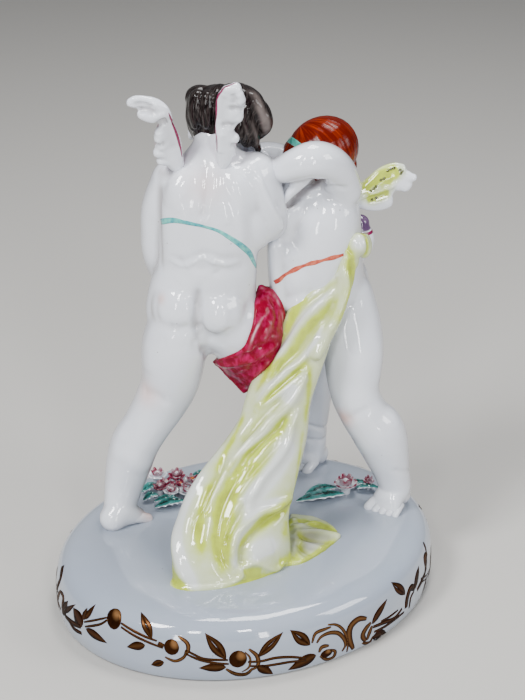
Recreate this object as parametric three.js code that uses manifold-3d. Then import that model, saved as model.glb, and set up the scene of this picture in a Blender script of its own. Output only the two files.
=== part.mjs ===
// Glazed porcelain group: two cupids struggle on an oval plinth, seen first from the side where a
// long cloth falls to the ground. Cupid one has dark hair and turns its back, cupid two has red hair.
// Units are millimetres. +Z is up and the origin is the middle of the plinth's underside.
import * as THREE from "three";
import { ParametricGeometry } from "three/addons/geometries/ParametricGeometry.js";
import { mergeVertices } from "three/addons/utils/BufferGeometryUtils.js";
import Module from "manifold-3d";

const wasm = await Module();
wasm.setup();

// Driving dimensions of the plinth.
const PLINTH_HALF_LENGTH = 67;
const PLINTH_HALF_WIDTH = 56;
const PLINTH_TURN = 37; // degrees from +X to the oval's long axis
const PLINTH_SIDES = 44;
// The plinth's half profile: radius along the long axis, then height.
const PLINTH_PROFILE = [
  [0, 0], [64.8, 0], [66.2, 1.2], [67, 4.5], [66.9, 12.4], [65.6, 16.4], [62.8, 19], [57, 20.7], [36, 22.4], [0, 23],
];
const SEAT_GAP = 0.3; // between the plinth's top and what is set on it

// Heads, from crown to chin.
const HEAD_ONE = 25.4;
const HEAD_TWO = 24.4;

// Facet counts.
const LIMB_SIDES = 9;
const TRUNK_SIDES = 14;
const CLOTH_SIDES = 24;

const glaze = new THREE.MeshStandardMaterial({ color: 0xe9e6e1, roughness: 0.12, metalness: 0 });
const foliage = new THREE.MeshStandardMaterial({ color: 0x4f8f80, roughness: 0.2, metalness: 0 });

const degrees = THREE.MathUtils.degToRad;
const vector = ([x, y, z]) => new THREE.Vector3(x, y, z);

// A closed solid from a closed surface, with its faces turned outwards.
function solid(geometry) {
  const bare = new THREE.BufferGeometry().setAttribute("position", geometry.getAttribute("position"));
  bare.setIndex(geometry.index);
  const merged = mergeVertices(bare, 1e-3);
  const corners = merged.index.array;
  const kept = [];
  for (let i = 0; i < corners.length; i += 3) {
    const [a, b, c] = [corners[i], corners[i + 1], corners[i + 2]];
    if (a !== b && b !== c && c !== a) kept.push(a, b, c);
  }
  const make = (triVerts) =>
    new wasm.Manifold(
      new wasm.Mesh({
        numProp: 3,
        vertProperties: new Float32Array(merged.attributes.position.array),
        triVerts: new Uint32Array(triVerts),
      }),
    );
  const made = make(kept);
  return made.volume() < 0 ? make(kept.reverse()) : made;
}

const join = (solids) => solids.reduce((sum, piece) => sum.add(piece));

// A mesh from a solid, flat shaded as the facets are.
function mesh(name, shape, material) {
  const { numProp, vertProperties, triVerts } = shape.getMesh();
  const position = new Float32Array((vertProperties.length / numProp) * 3);
  for (let i = 0; i < position.length / 3; i++)
    for (let k = 0; k < 3; k++) position[i * 3 + k] = vertProperties[i * numProp + k];
  const geometry = new THREE.BufferGeometry().setAttribute("position", new THREE.BufferAttribute(position, 3));
  geometry.setIndex(new THREE.BufferAttribute(new Uint32Array(triVerts), 1));
  geometry.computeVertexNormals();
  const made = new THREE.Mesh(geometry, material);
  made.name = name;
  return made;
}

// A round-ended body through stations [x, y, z, half width, half depth]. The width lies along `wide`,
// turning to `wideEnd` on the way, and `relief` gives a height over the surface from the angle round it
// and the share of the way along.
function limb(
  stations,
  { sides = LIMB_SIDES, steps = 1, caps = 2, wide = [1, 0, 0], wideEnd = wide, relief = () => 0 } = {},
) {
  const path = new THREE.CatmullRomCurve3(stations.map(vector));
  const girths = new THREE.CatmullRomCurve3(
    stations.map(([, , , width, depth = width]) => new THREE.Vector3(width, depth, 0)),
  );
  const count = (stations.length - 1) * steps;
  const rings = [];
  const addRing = (t, scale, shift) => {
    const axis = path.getTangent(t);
    const side = vector(wide).lerp(vector(wideEnd), t);
    side.addScaledVector(axis, -axis.dot(side)).normalize();
    const girth = girths.getPoint(t);
    const reach = Math.min(girth.x, girth.y) * shift;
    rings.push({
      t,
      centre: path.getPoint(t).addScaledVector(axis, reach),
      side,
      up: new THREE.Vector3().crossVectors(axis, side),
      width: girth.x * scale,
      depth: girth.y * scale,
    });
  };
  const quarter = (k) => (k / caps) * (Math.PI / 2);
  for (let k = caps; k > 0; k--) addRing(0, Math.cos(quarter(k)), -Math.sin(quarter(k)));
  for (let i = 0; i <= count; i++) addRing(i / count, 1, 0);
  for (let k = 1; k <= caps; k++) addRing(1, Math.cos(quarter(k)), Math.sin(quarter(k)));
  rings[0].pole = rings[rings.length - 1].pole = true;
  const place = (u, v, target) => {
    const ring = rings[Math.round(v * (rings.length - 1))];
    const angle = (u % 1) * 2 * Math.PI;
    const height = ring.pole ? 0 : relief(angle, ring.t);
    const width = ring.pole ? 0 : ring.width + height;
    const depth = ring.pole ? 0 : ring.depth + height;
    target.copy(ring.centre);
    target.addScaledVector(ring.side, width * Math.cos(angle));
    target.addScaledVector(ring.up, depth * Math.sin(angle));
  };
  return solid(new ParametricGeometry(place, sides, rings.length - 1));
}

// An ellipsoid at a place, turned by degrees about X, Y and Z.
function ball(centre, radii, { turn = [0, 0, 0], sides = 7, rows = 5 } = {}) {
  const geometry = new THREE.SphereGeometry(1, sides, rows);
  geometry.scale(...radii);
  geometry.applyMatrix4(
    new THREE.Matrix4().makeRotationFromEuler(new THREE.Euler(...turn.map((a) => degrees(a)), "XYZ")),
  );
  geometry.translate(...centre);
  return solid(geometry);
}

// The plinth, a low oval drum with a rounded shoulder and a slightly domed top, `lift` mm oversize.
function plinthSolid(lift = 0) {
  const profile = PLINTH_PROFILE.map(([r, z], i) => new THREE.Vector2(r + (r && i ? lift : 0), z + (z ? lift : 0)));
  const geometry = new THREE.LatheGeometry(profile, PLINTH_SIDES);
  geometry.rotateX(Math.PI / 2);
  geometry.scale(1, PLINTH_HALF_WIDTH / PLINTH_HALF_LENGTH, 1);
  geometry.rotateZ(degrees(PLINTH_TURN));
  return solid(geometry);
}

// A head in its own axes: x to its right, y to where it looks, z to its crown, in shares of half its height.
function head(centre, height, looks, crown) {
  const forward = vector(looks).normalize();
  const right = new THREE.Vector3().crossVectors(forward, vector(crown)).normalize();
  const up = new THREE.Vector3().crossVectors(right, forward);
  const frame = new THREE.Matrix4().makeBasis(right, forward, up).setPosition(...centre);
  const place = (part) => part.transform(frame.toArray());
  const half = height / 2;
  const lump = (at, radii, detail) => place(ball(at.map((v) => v * half), radii.map((v) => v * half), detail));
  const fine = { sides: 5, rows: 4 };
  const pair = (at, radii) => [-1, 1].map((s) => lump([s * at[0], at[1], at[2]], radii, fine));
  return {
    lump,
    flesh: join([
      lump([0, 0.1, -0.12], [0.7, 0.72, 0.84], { sides: 10, rows: 7 }),
      lump([0, 0.8, -0.2], [0.11, 0.17, 0.13], fine),
      lump([0, 0.72, -0.52], [0.17, 0.1, 0.07], fine),
      lump([0, 0.6, -0.76], [0.18, 0.16, 0.15], fine),
      ...pair([0.36, 0.42, -0.34], [0.29, 0.28, 0.27]),
      ...pair([0.78, -0.08, -0.14], [0.09, 0.17, 0.22]),
    ]),
  };
}

// A foot on the ground from heel to toes, with five toes across the end.
function foot(heel, ball_, sole, leftFoot) {
  const along = new THREE.Vector2(ball_[0] - heel[0], ball_[1] - heel[1]);
  const length = along.length();
  along.normalize();
  const across = new THREE.Vector2(-along.y, along.x).multiplyScalar(leftFoot ? 1 : -1); // towards the little toe
  const at = (run, out, z) => [
    heel[0] + along.x * run + across.x * out,
    heel[1] + along.y * run + across.y * out,
    sole + z,
  ];
  const wide = [across.x, across.y, 0];
  const body = limb(
    [
      [...at(0, 0, 4), 4.4, 4.4],
      [...at(length * 0.4, 0, 4.4), 4.7, 4.4],
      [...at(length * 0.75, 0, 2.9), 5.3, 3],
      [...at(length, 0, 2), 5.2, 2],
    ],
    { wide, sides: 8 },
  );
  const toes = [-1, -0.48, 0, 0.46, 0.88].map((share, i) => {
    const size = [2, 1.5, 1.45, 1.35, 1.2][i];
    return ball(at(length + 2.4 - 0.18 * i * i, share * 4.3, size), [size, size, size], { sides: 5, rows: 3 });
  });
  return join([body, ...toes]);
}

// A small hand from wrist to finger tips, the fingers closed beside each other, with a thumb.
function hand(wrist, palm, tips, spread) {
  const across = vector(spread).normalize();
  const thumbRoot = vector(wrist).lerp(vector(palm), 0.6).addScaledVector(across, -2.6);
  const thumbTip = thumbRoot.clone().addScaledVector(across, -1.9).lerp(vector(tips), 0.35);
  const grooves = (angle, t) => (t > 0.4 ? 0.25 * Math.cos(4 * Math.PI * Math.cos(angle)) : 0);
  return join([
    limb([[...wrist, 3, 2.4], [...palm, 3.9, 2.1], [...tips, 3.4, 1.3]], { sides: 12, caps: 1, wide: spread, relief: grooves }),
    limb([[...thumbRoot, 1.4], [...thumbTip, 1.1]], { sides: 5, caps: 1, wide: spread }),
  ]);
}

// A wing: a flat blade along a spine, its outer edge scalloped by `lobes` rounded feather ends. `edge` is
// the angle round the blade, in degrees, at which that edge lies.
function wing(spine, { wide, wideEnd, edge = 0, lobes = 4, depth = 1.2 }) {
  const relief = (angle, t) => {
    const facing = Math.max(0, Math.cos(angle - degrees(edge)));
    return depth * facing ** 3 * (Math.abs(Math.sin(Math.PI * lobes * t)) - 0.3);
  };
  return limb(spine, { sides: 6, steps: 3, caps: 1, wide, wideEnd, relief });
}

// Cupid one: its back to the viewer, its left foot planted wide, its right thigh under a cloth.
function cupidOne() {
  const trunk = limb(
    [
      [-14, 5.4, 91, 12, 7.6],
      [-14.6, 5, 96, 17.6, 9],
      [-13.8, 4.6, 104.8, 17.6, 10.2],
      [-11.9, 3, 116.6, 15.9, 10.8],
      [-11.2, 2, 127.4, 16.2, 10.8],
      [-10.8, 3, 136, 16.2, 10.8],
      [-10.4, 4.4, 143, 14.4, 9.4],
      [-10, 6.6, 148.6, 10, 7.8],
      [-9.4, 9.6, 153, 7, 6.6],
      [-8.8, 12, 157, 6.6, 6.4],
    ],
    { sides: TRUNK_SIDES },
  );
  const leftLeg = limb([
    [-19.6, 3.5, 97, 10.6],
    [-22.9, 3, 87.3, 11],
    [-24.5, 4, 75, 9.8],
    [-27.8, 5, 66.5, 8.9],
    [-33, 5, 57.3, 8],
    [-36.8, 5, 51, 8.1],
    [-39, 5.5, 44, 7.8],
    [-41, 5.4, 35.6, 6.8],
    [-42.8, 3.6, 27, 5.4],
  ]);
  const rightLeg = limb([
    [-4.5, 5, 95, 11.4],
    [1.3, 9, 84.9, 11.2],
    [8.6, 15, 73.5, 10],
    [13.6, 21, 63.2, 8.8],
    [13.4, 25, 53, 8.1],
    [10.8, 28, 41.9, 7.8],
    [8, 31, 31.8, 6],
    [7, 32, 27, 5.4],
  ]);
  const leftArm = limb([
    [-23.6, 5.5, 142.5, 7],
    [-27, 8.5, 131.8, 6.3],
    [-27.4, 10, 124, 6.1],
    [-27.4, 12, 115.7, 5.8],
    [-25.8, 17, 107, 5.2],
    [-22.5, 23.5, 100, 4.4],
    [-18.5, 27.5, 95.5, 3.3],
  ]);
  const rightArm = limb([
    [3.6, 4, 145, 7.4],
    [6.4, 4.8, 135.8, 6.6],
    [8, 7, 127.8, 5.7],
    [6.8, 14.5, 127.2, 5.1],
    [5.6, 22, 129, 4.3],
    [6.2, 28, 131, 3.3],
  ]);
  const skull = head([-7.6, 16.4, 156], HEAD_ONE, [0.38, 0.83, -0.42], [0.1, 0.45, 0.9]);
  const hair = [
    skull.lump([0, -0.22, 0.24], [0.88, 0.94, 0.86], { sides: 10, rows: 7 }),
    ball([4.4, 14.4, 159.6], [3.6, 5, 5.2]),
    ball([6.4, 13.2, 156], [3.2, 4, 4.6]),
    ball([3, 10, 154], [2.8, 3.4, 4.6]),
    ball([-13.6, 7, 161.2], [3.4, 3.4, 4]),
    ball([-7.6, 5.6, 161], [4.4, 3, 3.8]),
    ball([-17, 11.6, 160.4], [3, 4.6, 5]),
    ball([-17.4, 17, 156.4], [3, 4.4, 5]),
    ball([-12, 15, 167.4], [5, 5, 3]),
    ball([-4, 16, 167.6], [5, 5, 3]),
  ];
  return join([
    trunk,
    leftLeg,
    rightLeg,
    leftArm,
    rightArm,
    skull.flesh,
    ...hair,
    ball([-20.8, 0.6, 102.4], [9.8, 10.2, 9.8], { sides: 11, rows: 7 }),
    ball([-7.8, 0.6, 101.4], [8.8, 10.2, 9.4], { sides: 11, rows: 7 }),
    ball([-18.8, -0.6, 140.6], [7, 5.6, 9], { turn: [0, 12, 0] }),
    ball([-3.4, -0.6, 140.6], [7, 5.6, 9], { turn: [0, -12, 0] }),
    ball([-12.5, 9, 112], [13, 8.5, 12]),
    foot([-44.8, -0.2], [-34, 5.4], 20.8, true),
    foot([6.4, 31.4], [9.4, 43], 20.8, false),
    hand([-18.5, 26.5, 96.5], [-15, 26, 93.6], [-11, 22.6, 91], [0.6, 0, -0.8]),
    hand([6.2, 28, 131], [8.6, 31.4, 131.6], [14, 35.6, 131], [0.1, -0.3, 0.95]),
  ]);
}

// Cupid two: its chest to the viewer's left, its left arm over cupid one's shoulder.
function cupidTwo() {
  const chestAcross = [0.66, -0.75, 0];
  const trunk = limb(
    [
      [27.6, 27, 82, 9.5, 8.5],
      [26.4, 25.6, 90.5, 15.5, 12],
      [24.4, 23.8, 99.8, 16.6, 13.6],
      [22.6, 21.6, 109, 16.6, 14.8],
      [22.4, 20, 117.5, 16.6, 14.8],
      [23, 19, 125.4, 16.2, 13.4],
      [24.6, 18.8, 132, 14.6, 11],
      [25.8, 18.8, 137, 10.6, 8.6],
      [25.2, 18.6, 142, 6.6, 6.2],
    ],
    { sides: TRUNK_SIDES, wide: chestAcross },
  );
  const leftLeg = limb([
    [31.6, 20, 97, 10.6],
    [34.3, 17.6, 88.2, 10.4],
    [35.5, 15.4, 79.7, 10.2],
    [35.6, 14, 71.4, 9.2],
    [36.4, 12.6, 64.7, 8.2],
    [39.5, 12.2, 57.5, 7.5],
    [42.7, 12.7, 52.4, 8],
    [45, 13.6, 47.4, 8],
    [47.1, 14.7, 41.2, 7.3],
    [49.4, 16, 34.6, 6.4],
    [51, 17, 28, 5.5],
  ]);
  const rightLeg = limb([
    [22, 28, 95, 10.4],
    [22.6, 32, 86, 10],
    [22.4, 36, 72.8, 9.2],
    [22.4, 40, 58, 8],
    [22, 43.2, 46, 7.4],
    [22.6, 45.6, 35.4, 5.9],
    [23, 46.6, 28, 5.2],
  ]);
  const leftArm = limb(
    [
      [31.6, 12.4, 137.6, 6],
      [29.2, 8.6, 144.6, 6],
      [25.3, 5, 148.8, 6.1],
      [20.8, 2, 150.6, 5.9],
      [16.4, 1.6, 149.4, 5.3],
      [12, 4, 146.8, 4.5],
      [8.2, 8.4, 144.4, 3.5],
    ],
    { wide: [0, 1, 0] },
  );
  const rightArm = limb(
    [
      [17.6, 27.6, 135.6, 6.8],
      [12.4, 31.4, 139.6, 5.8],
      [6, 30.4, 142, 5],
      [1, 25, 142, 4],
      [-1, 20.4, 141.4, 3.3],
    ],
    { wide: [0, 1, 0] },
  );
  const skull = head([24.6, 20, 144.4], HEAD_TWO, [-0.78, 0.32, -0.54], [-0.42, 0.05, 0.9]);
  const hair = [
    skull.lump([0, -0.2, 0.26], [0.88, 0.94, 0.84], { sides: 10, rows: 7 }),
    ball([12.8, 18.6, 147], [2.6, 3.4, 3]),
    ball([31.8, 22, 141.6], [4.4, 6, 4.6]),
    ball([26.8, 12.4, 141], [5, 4, 4]),
  ];
  const knot = [ball([34.4, 8.8, 118.6], [4.2, 4, 4.6]), ball([38, 10, 117.6], [3, 3.4, 4.8]), ball([31.6, 7.4, 115.4], [3.6, 2.4, 2.6])];
  const quiver = limb(
    [
      [37.6, 24, 123, 3.4],
      [37.2, 24.6, 120.4, 3.6],
      [34, 33, 108, 3.2],
      [31, 38, 99, 2.6],
    ],
    { sides: 8 },
  );
  return join([
    trunk,
    leftLeg,
    rightLeg,
    leftArm,
    rightArm,
    skull.flesh,
    ...hair,
    ...knot,
    quiver,
    ball([36, 31, 100], [8.4, 8.4, 8.2]),
    ball([30, 35.6, 99.5], [8, 8, 8]),
    ball([30.6, 14.8, 129.4], [5.6, 5.6, 9]),
    foot([53.4, 17], [44, 9.2], 20.2, true),
    foot([26.8, 49.4], [18.8, 42.4], 20.2, false),
    hand([8.2, 8.4, 144.4], [4.4, 12, 147], [-1, 15.4, 148.6], [0.5, -0.3, 0.8]),
    hand([-1, 20.4, 141.4], [-4, 17.2, 140.8], [-9.6, 14.8, 140], [0.1, 0.2, 0.97]),
  ]);
}

// The wings of both cupids, standing on the shoulder blades.
function wings() {
  return join([
    wing(
      [
        [-20.6, -4.2, 147, 3, 2.6],
        [-22.8, -7, 153, 3.6, 2],
        [-24.6, -8, 159.4, 4.2, 1.8],
        [-26.6, -8, 165.4, 4.3, 1.7],
        [-30.4, -7.4, 169.4, 3.6, 1.6],
        [-34.4, -7, 171.2, 2, 1.3],
      ],
      { wide: [1, 0.15, 0.3], wideEnd: [0.5, 0, 0.85], edge: 180, lobes: 5, depth: 1.5 },
    ),
    wing(
      [
        [-6.4, -4.4, 147.4, 3, 2.6],
        [-5.8, -7.2, 153.6, 3, 2],
        [-5.8, -8.4, 160, 3.6, 1.8],
        [-4.9, -8.6, 166.6, 4.7, 1.7],
        [-4.4, -8.4, 172, 4.2, 1.6],
        [-4.2, -8.2, 175, 2.6, 1.3],
      ],
      { wide: [1, 0, 0], edge: 0, lobes: 4, depth: 1.4 },
    ),
    wing(
      [
        [34, 18, 130.4, 3, 2.4],
        [38.4, 19.2, 131.4, 4, 1.9],
        [43.2, 20, 134, 6, 1.8],
        [47.8, 20.6, 136.4, 5.8, 1.7],
        [51.4, 21, 137.8, 4.6, 1.5],
        [53.4, 21.2, 138.6, 2.4, 1.2],
      ],
      { wide: [-0.3, -0.1, 1], wideEnd: [-0.5, -0.1, 0.8], edge: 180, lobes: 4, depth: 1 },
    ),
    wing(
      [
        [28.6, 29, 132, 3, 2.4],
        [31, 34, 135, 4, 1.9],
        [32, 38.4, 138.4, 4.6, 1.7],
        [32.6, 42, 142, 3.4, 1.4],
      ],
      { wide: [0.7, -0.5, 0.5], edge: 0, lobes: 3, depth: 1.2 },
    ),
  ]);
}

// The cloth that cupid one wears over the right thigh and the loins.
function thighCloth() {
  const folds = (angle, t) => 0.5 * Math.sin(5 * angle + 6 * t);
  return join([
    limb(
      [
        [6.6, 8, 102, 3.6, 4.4],
        [4.6, 7.2, 98.8, 7.4, 8.4],
        [1.8, 7.4, 94, 11.2, 11.2],
        [0.6, 9, 89, 13.2, 11.8],
        [4, 12.4, 80.6, 11.2, 11.2],
        [8, 15.4, 73.4, 9, 10],
        [9.4, 16.6, 70, 6, 7.4],
      ],
      { sides: 16, relief: folds },
    ),
    ball([-13, 10, 96.6], [15, 8.6, 8.6], { sides: 10, rows: 7 }),
  ]);
}

// The long cloth: from the knot on cupid two's hip, across the loins and down to the plinth.
function fallingCloth() {
  const folds = (angle, t) => {
    const deep = 0.3 + 1.3 * Math.sin(Math.PI * Math.min(1, t * 1.1));
    return deep * Math.cos(6 * angle + 4 * t);
  };
  const fall = limb(
    [
      [35.4, 9.4, 117.6, 2.2, 2],
      [31.8, 7.6, 109, 3.4, 2.6],
      [27.4, 6.6, 103, 5.6, 3],
      [21.9, 5.4, 96.8, 8.4, 3.6],
      [17.2, 3, 85, 9, 4.8],
      [11, -2, 71.4, 10.4, 5.8],
      [8.5, -7, 61.2, 11.6, 6.4],
      [4, -13, 52, 13.6, 7],
      [-1.4, -20, 41.6, 16.4, 7.6],
      [-3.8, -25, 32, 19, 8.6],
      [-4.6, -27.6, 24, 20, 9.6],
      [-4.6, -28, 18, 19.4, 9.2],
    ],
    { sides: CLOTH_SIDES, wide: [0.75, -0.6, -0.3], wideEnd: [0.91, 0.42, 0], relief: folds },
  );
  return join([
    fall,
    ball([19.6, -18.6, 21.8], [13.6, 9, 3], { turn: [0, 0, 44], sides: 10 }),
    ball([-5, -31.4, 21.2], [20.6, 9, 3.2], { turn: [0, 0, 22], sides: 12 }),
  ]);
}

// An open flower on the plinth: a cup whose rim is drawn into five petals.
function flower([x, y], radius, height) {
  const petals = (angle, t) => 0.24 * radius * t * Math.cos(5 * angle);
  const cup = [
    [x, y, height - radius * 2.2, radius * 0.5],
    [x, y, height - radius * 0.8, radius * 0.8],
    [x, y, height, radius],
  ];
  return limb(cup, { sides: 10, caps: 1, relief: petals });
}

// A leaf lying on the plinth, pointed along `turn` degrees from +X.
const leaf = ([x, y], length, turn) =>
  ball([x, y, 22.6], [length / 2, length / 4, 1.4], { turn: [8, 0, turn], sides: 6, rows: 4 });

// A garland: flowers and leaves along one low stem.
function garland(stem, flowers, leaves) {
  return join([
    limb(stem.map(([x, y]) => [x, y, 22.6, 2.4, 1.8]), { sides: 6, wide: [0, 0, 1] }),
    ...flowers.map(([x, y, radius, height]) => flower([x, y], radius, height)),
    ...leaves.map(([x, y, length, turn]) => leaf([x, y], length, turn)),
  ]);
}

const seat = plinthSolid(SEAT_GAP);
const group = join([cupidOne(), cupidTwo(), wings(), thighCloth(), fallingCloth()]).subtract(seat);

const leftGarland = garland(
  [[-35, 20.5], [-30, 22.5], [-25, 24], [-20, 29], [-14, 34]],
  [[-31.8, 27.4, 2.8, 26.2], [-27.4, 23.4, 2.9, 26.2], [-22.8, 28.4, 2.9, 26.2], [-23.7, 19, 2.9, 25.8]],
  [[-34, 21.4, 9, 38], [-26.6, 13.6, 11, 2], [-16.6, 33.4, 10, 10], [-24, 16.4, 9, 80], [-31.4, 25.4, 8, 100], [-19.6, 20.6, 9, 60]],
).subtract(seat);

const rightGarland = garland(
  [[15.6, 12.6], [22, 16.4], [29, 19.6], [36, 22], [44.6, 24.8]],
  [[35.2, 22, 3.5, 26.8], [42.2, 26.4, 2.6, 25.4]],
  [[24.6, 15.4, 16, 22], [25.4, 20.2, 11, 28], [42.4, 23.8, 9, 8], [43, 21.8, 8, -8]],
).subtract(seat);

const figurine = new THREE.Group();
figurine.add(
  mesh("plinth", plinthSolid(), glaze),
  mesh("cupid_group", group, glaze),
  mesh("garland_left", leftGarland, foliage),
  mesh("garland_right", rightGarland, foliage),
);

export default figurine;
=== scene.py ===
import math

import bpy
import numpy as np
from mathutils import Matrix, Vector
from mathutils.bvhtree import BVHTree


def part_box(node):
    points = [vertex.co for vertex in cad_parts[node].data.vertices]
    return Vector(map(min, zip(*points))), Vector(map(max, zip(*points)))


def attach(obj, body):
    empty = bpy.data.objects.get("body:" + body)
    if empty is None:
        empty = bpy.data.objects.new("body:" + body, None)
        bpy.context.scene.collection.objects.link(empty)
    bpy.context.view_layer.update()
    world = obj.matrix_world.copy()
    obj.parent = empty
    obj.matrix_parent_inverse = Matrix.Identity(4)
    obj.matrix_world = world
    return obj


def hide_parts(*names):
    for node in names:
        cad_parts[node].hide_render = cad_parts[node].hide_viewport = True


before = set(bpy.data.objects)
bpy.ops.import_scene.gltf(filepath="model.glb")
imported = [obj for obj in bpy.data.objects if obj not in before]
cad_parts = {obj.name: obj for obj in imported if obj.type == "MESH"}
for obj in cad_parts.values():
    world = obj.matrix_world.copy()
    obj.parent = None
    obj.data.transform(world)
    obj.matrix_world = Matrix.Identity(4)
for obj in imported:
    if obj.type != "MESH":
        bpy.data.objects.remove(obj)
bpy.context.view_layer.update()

bl_info = {
    "name": "Porcelain Cupids",
    "version": (1, 0, 0),
    "blender": (4, 5, 0),
    "location": "3D View > Sidebar > Cupids",
    "description": "Builds a glazed porcelain group of two wrestling cupids on an oval plinth",
    "category": "Object",
}

MM = 0.001
PLINTH_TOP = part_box("plinth")[1][2] / MM
PLINTH_SIDES = 180
FINE_GRAIN = 0.4 * MM  # facets of hair and cloths
LEAST_GIRTH = 0.2  # in mm, of a limb of clay
THINNEST_STROKE = 0.06  # of a stroke's own width, at its tips
PAINT_GAP = 0.004  # in mm, between a skin and the paint on it
HOLLOW_REACH = 14  # rounds of averaging that even out a hollow
HOLLOW_GAIN = 0.9  # share of pooled glaze and painted shade for each mm of depth

# The photograph's camera, in millimetres, and its focal length in pixels of the 525 by 700 frame.
CAMERA_PLACE = Vector((5.4, -553.2, 339.0))
CAMERA_TILT = math.radians(24.5)
FOCAL_PIXELS = 1888.0
FRAME_WIDTH = 525
FRAME_HEIGHT = 700


# Colours and settings

def linear(code):
    """An sRGB hex colour as linear red, green, blue and alpha."""
    shares = [int(code[i:i + 2], 16) / 255 for i in (1, 3, 5)]
    return [s / 12.92 if s <= 0.04045 else ((s + 0.055) / 1.055) ** 2.4 for s in shares] + [1.0]


def colour_setting(name, description, code):
    return bpy.props.FloatVectorProperty(
        name=name, description=description, subtype="COLOR", size=4, min=0, max=1, default=linear(code)
    )


def length_setting(name, description, millimetres):
    return bpy.props.FloatProperty(
        name=name, description=description, unit="LENGTH", subtype="DISTANCE", default=millimetres * MM
    )


class FigurineSettings(bpy.types.PropertyGroup):
    """Sizes and colours of the porcelain group."""

    plinth_half_length: length_setting("Plinth half length", "Half of the oval's long axis", 67)
    plinth_half_width: length_setting("Plinth half width", "Half of the oval's short axis", 56)
    plinth_turn: bpy.props.FloatProperty(
        name="Plinth turn", description="Angle of the long axis", subtype="ANGLE", default=math.radians(37)
    )
    head_one: length_setting("First head", "Crown to chin of the dark-haired cupid", 25.4)
    head_two: length_setting("Second head", "Crown to chin of the red-haired cupid", 24.4)
    skin_voxel: length_setting("Skin grain", "Facet size of the modelled skin", 0.55)
    paint_film: length_setting("Paint film", "Thickness of a painted or gilt line", 0.04)
    glaze: colour_setting("Glaze", "White porcelain under clear glaze", "#e4e8f1")
    # Also the painted shade in hollows and where a surface turns away from the eye.
    glaze_deep_and_shade: colour_setting("Pooled glaze", "Glaze where it runs thick in a hollow", "#857d7c")
    blush: colour_setting("Blush", "Sparse orange tint on knees and hips", "#e8a184")
    plinth_white: colour_setting("Plinth white", "Cooler glaze of the plinth", "#98a2b2")
    dark_hair: colour_setting("Dark hair", "Brown-black enamel", "#120d0d")
    red_hair: colour_setting("Red hair", "Iron-red enamel", "#540a02")
    magenta: colour_setting("Magenta", "Gold-purple enamel of the thigh cloth", "#7d0424")
    lime: colour_setting("Yellow-green", "Thin enamel in the folds of the long cloth", "#bbcb45")
    teal: colour_setting("Teal", "Turquoise line and headband", "#218b9a")
    cord_red: colour_setting("Cord red", "Red line on the second cupid", "#a82418")
    # Used where highlights are painted on the gilding.
    gold: colour_setting("Gold", "Burnished gold of the vine", "#86603c")
    leaf_green: colour_setting("Leaf green", "Blue-green enamel of the leaves", "#3f8f8a")
    petal_pink: colour_setting("Petal pink", "Dark pink enamel on the petal edges", "#7c1238")


def settings():
    return bpy.context.scene.figurine


def tone(colour):
    """A colour of the panel, by its name, or a fixed one, by its hex code."""
    return linear(colour) if colour.startswith("#") else tuple(getattr(settings(), colour))


# Building helpers

def select(pieces):
    """Selects these pieces alone, the first as the active one."""
    bpy.ops.object.select_all(action="DESELECT")
    for piece in pieces:
        piece.select_set(True)
    bpy.context.view_layer.objects.active = pieces[0]


def new_piece(name, points, faces, edges=()):
    """A mesh object from points in millimetres."""
    shape = bpy.data.meshes.new(name)
    shape.from_pydata([tuple(c * MM for c in p) for p in points], edges, faces)
    shape.update()
    piece = bpy.data.objects.new(name, shape)
    bpy.context.collection.objects.link(piece)
    return piece


def apply_modifier(piece, kind, **values):
    modifier = piece.modifiers.new(kind.title(), kind)
    for key, value in values.items():
        setattr(modifier, key, value)
    select([piece])
    bpy.ops.object.modifier_apply(modifier=modifier.name)


def join_pieces(name, pieces):
    select(pieces)
    if len(pieces) > 1:
        bpy.ops.object.join()
    joined = pieces[0]
    joined.name = name
    joined.data.name = name
    bpy.ops.object.transform_apply()
    return joined


def turn_faces_out(piece):
    select([piece])
    bpy.ops.object.mode_set(mode="EDIT")
    bpy.ops.mesh.select_all(action="SELECT")
    bpy.ops.mesh.remove_doubles(threshold=1e-6)
    bpy.ops.mesh.normals_make_consistent(inside=False)
    bpy.ops.object.mode_set(mode="OBJECT")


def smooth(piece, rounds, **where):
    apply_modifier(piece, "SMOOTH", factor=0.5, iterations=rounds, **where)


def shade_smooth(piece):
    select([piece])
    bpy.ops.object.shade_smooth()


def press_together(name, pieces, grain, softness):
    """Joins pieces of clay into one skin of even facets and softens its joins."""
    clay = join_pieces(name, pieces)
    apply_modifier(clay, "REMESH", mode="VOXEL", voxel_size=grain, adaptivity=0)
    smooth(clay, softness)
    shade_smooth(clay)
    return clay


def smooth_line(stations, count):
    """Rows on a smooth line through the stations, `count` to each stretch."""
    rows = np.array([tuple(station) for station in stations], float)
    padded = np.vstack([2 * rows[0] - rows[1], rows, 2 * rows[-1] - rows[-2]])
    line = []
    for a, b, c, d in zip(padded, padded[1:], padded[2:], padded[3:]):
        bend = 2 * a - 5 * b + 4 * c - d
        twist = 3 * b - a - 3 * c + d
        for k in range(count):
            t = k / count
            line.append(0.5 * (2 * b + (c - a) * t + bend * t * t + twist * t ** 3))
    line.append(rows[-1])
    return np.array(line)


def grid_faces(rows, row, closed=False, base=0):
    """Faces between rows of points, `row` points to each. Closed rows meet their own first point again."""
    faces = []
    for i in range(rows):
        for k in range(row if closed else row - 1):
            corner = base + i * row + k
            beside = base + i * row + (k + 1) % row
            faces.append((corner, beside, beside + row, corner + row))
    return faces


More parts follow.
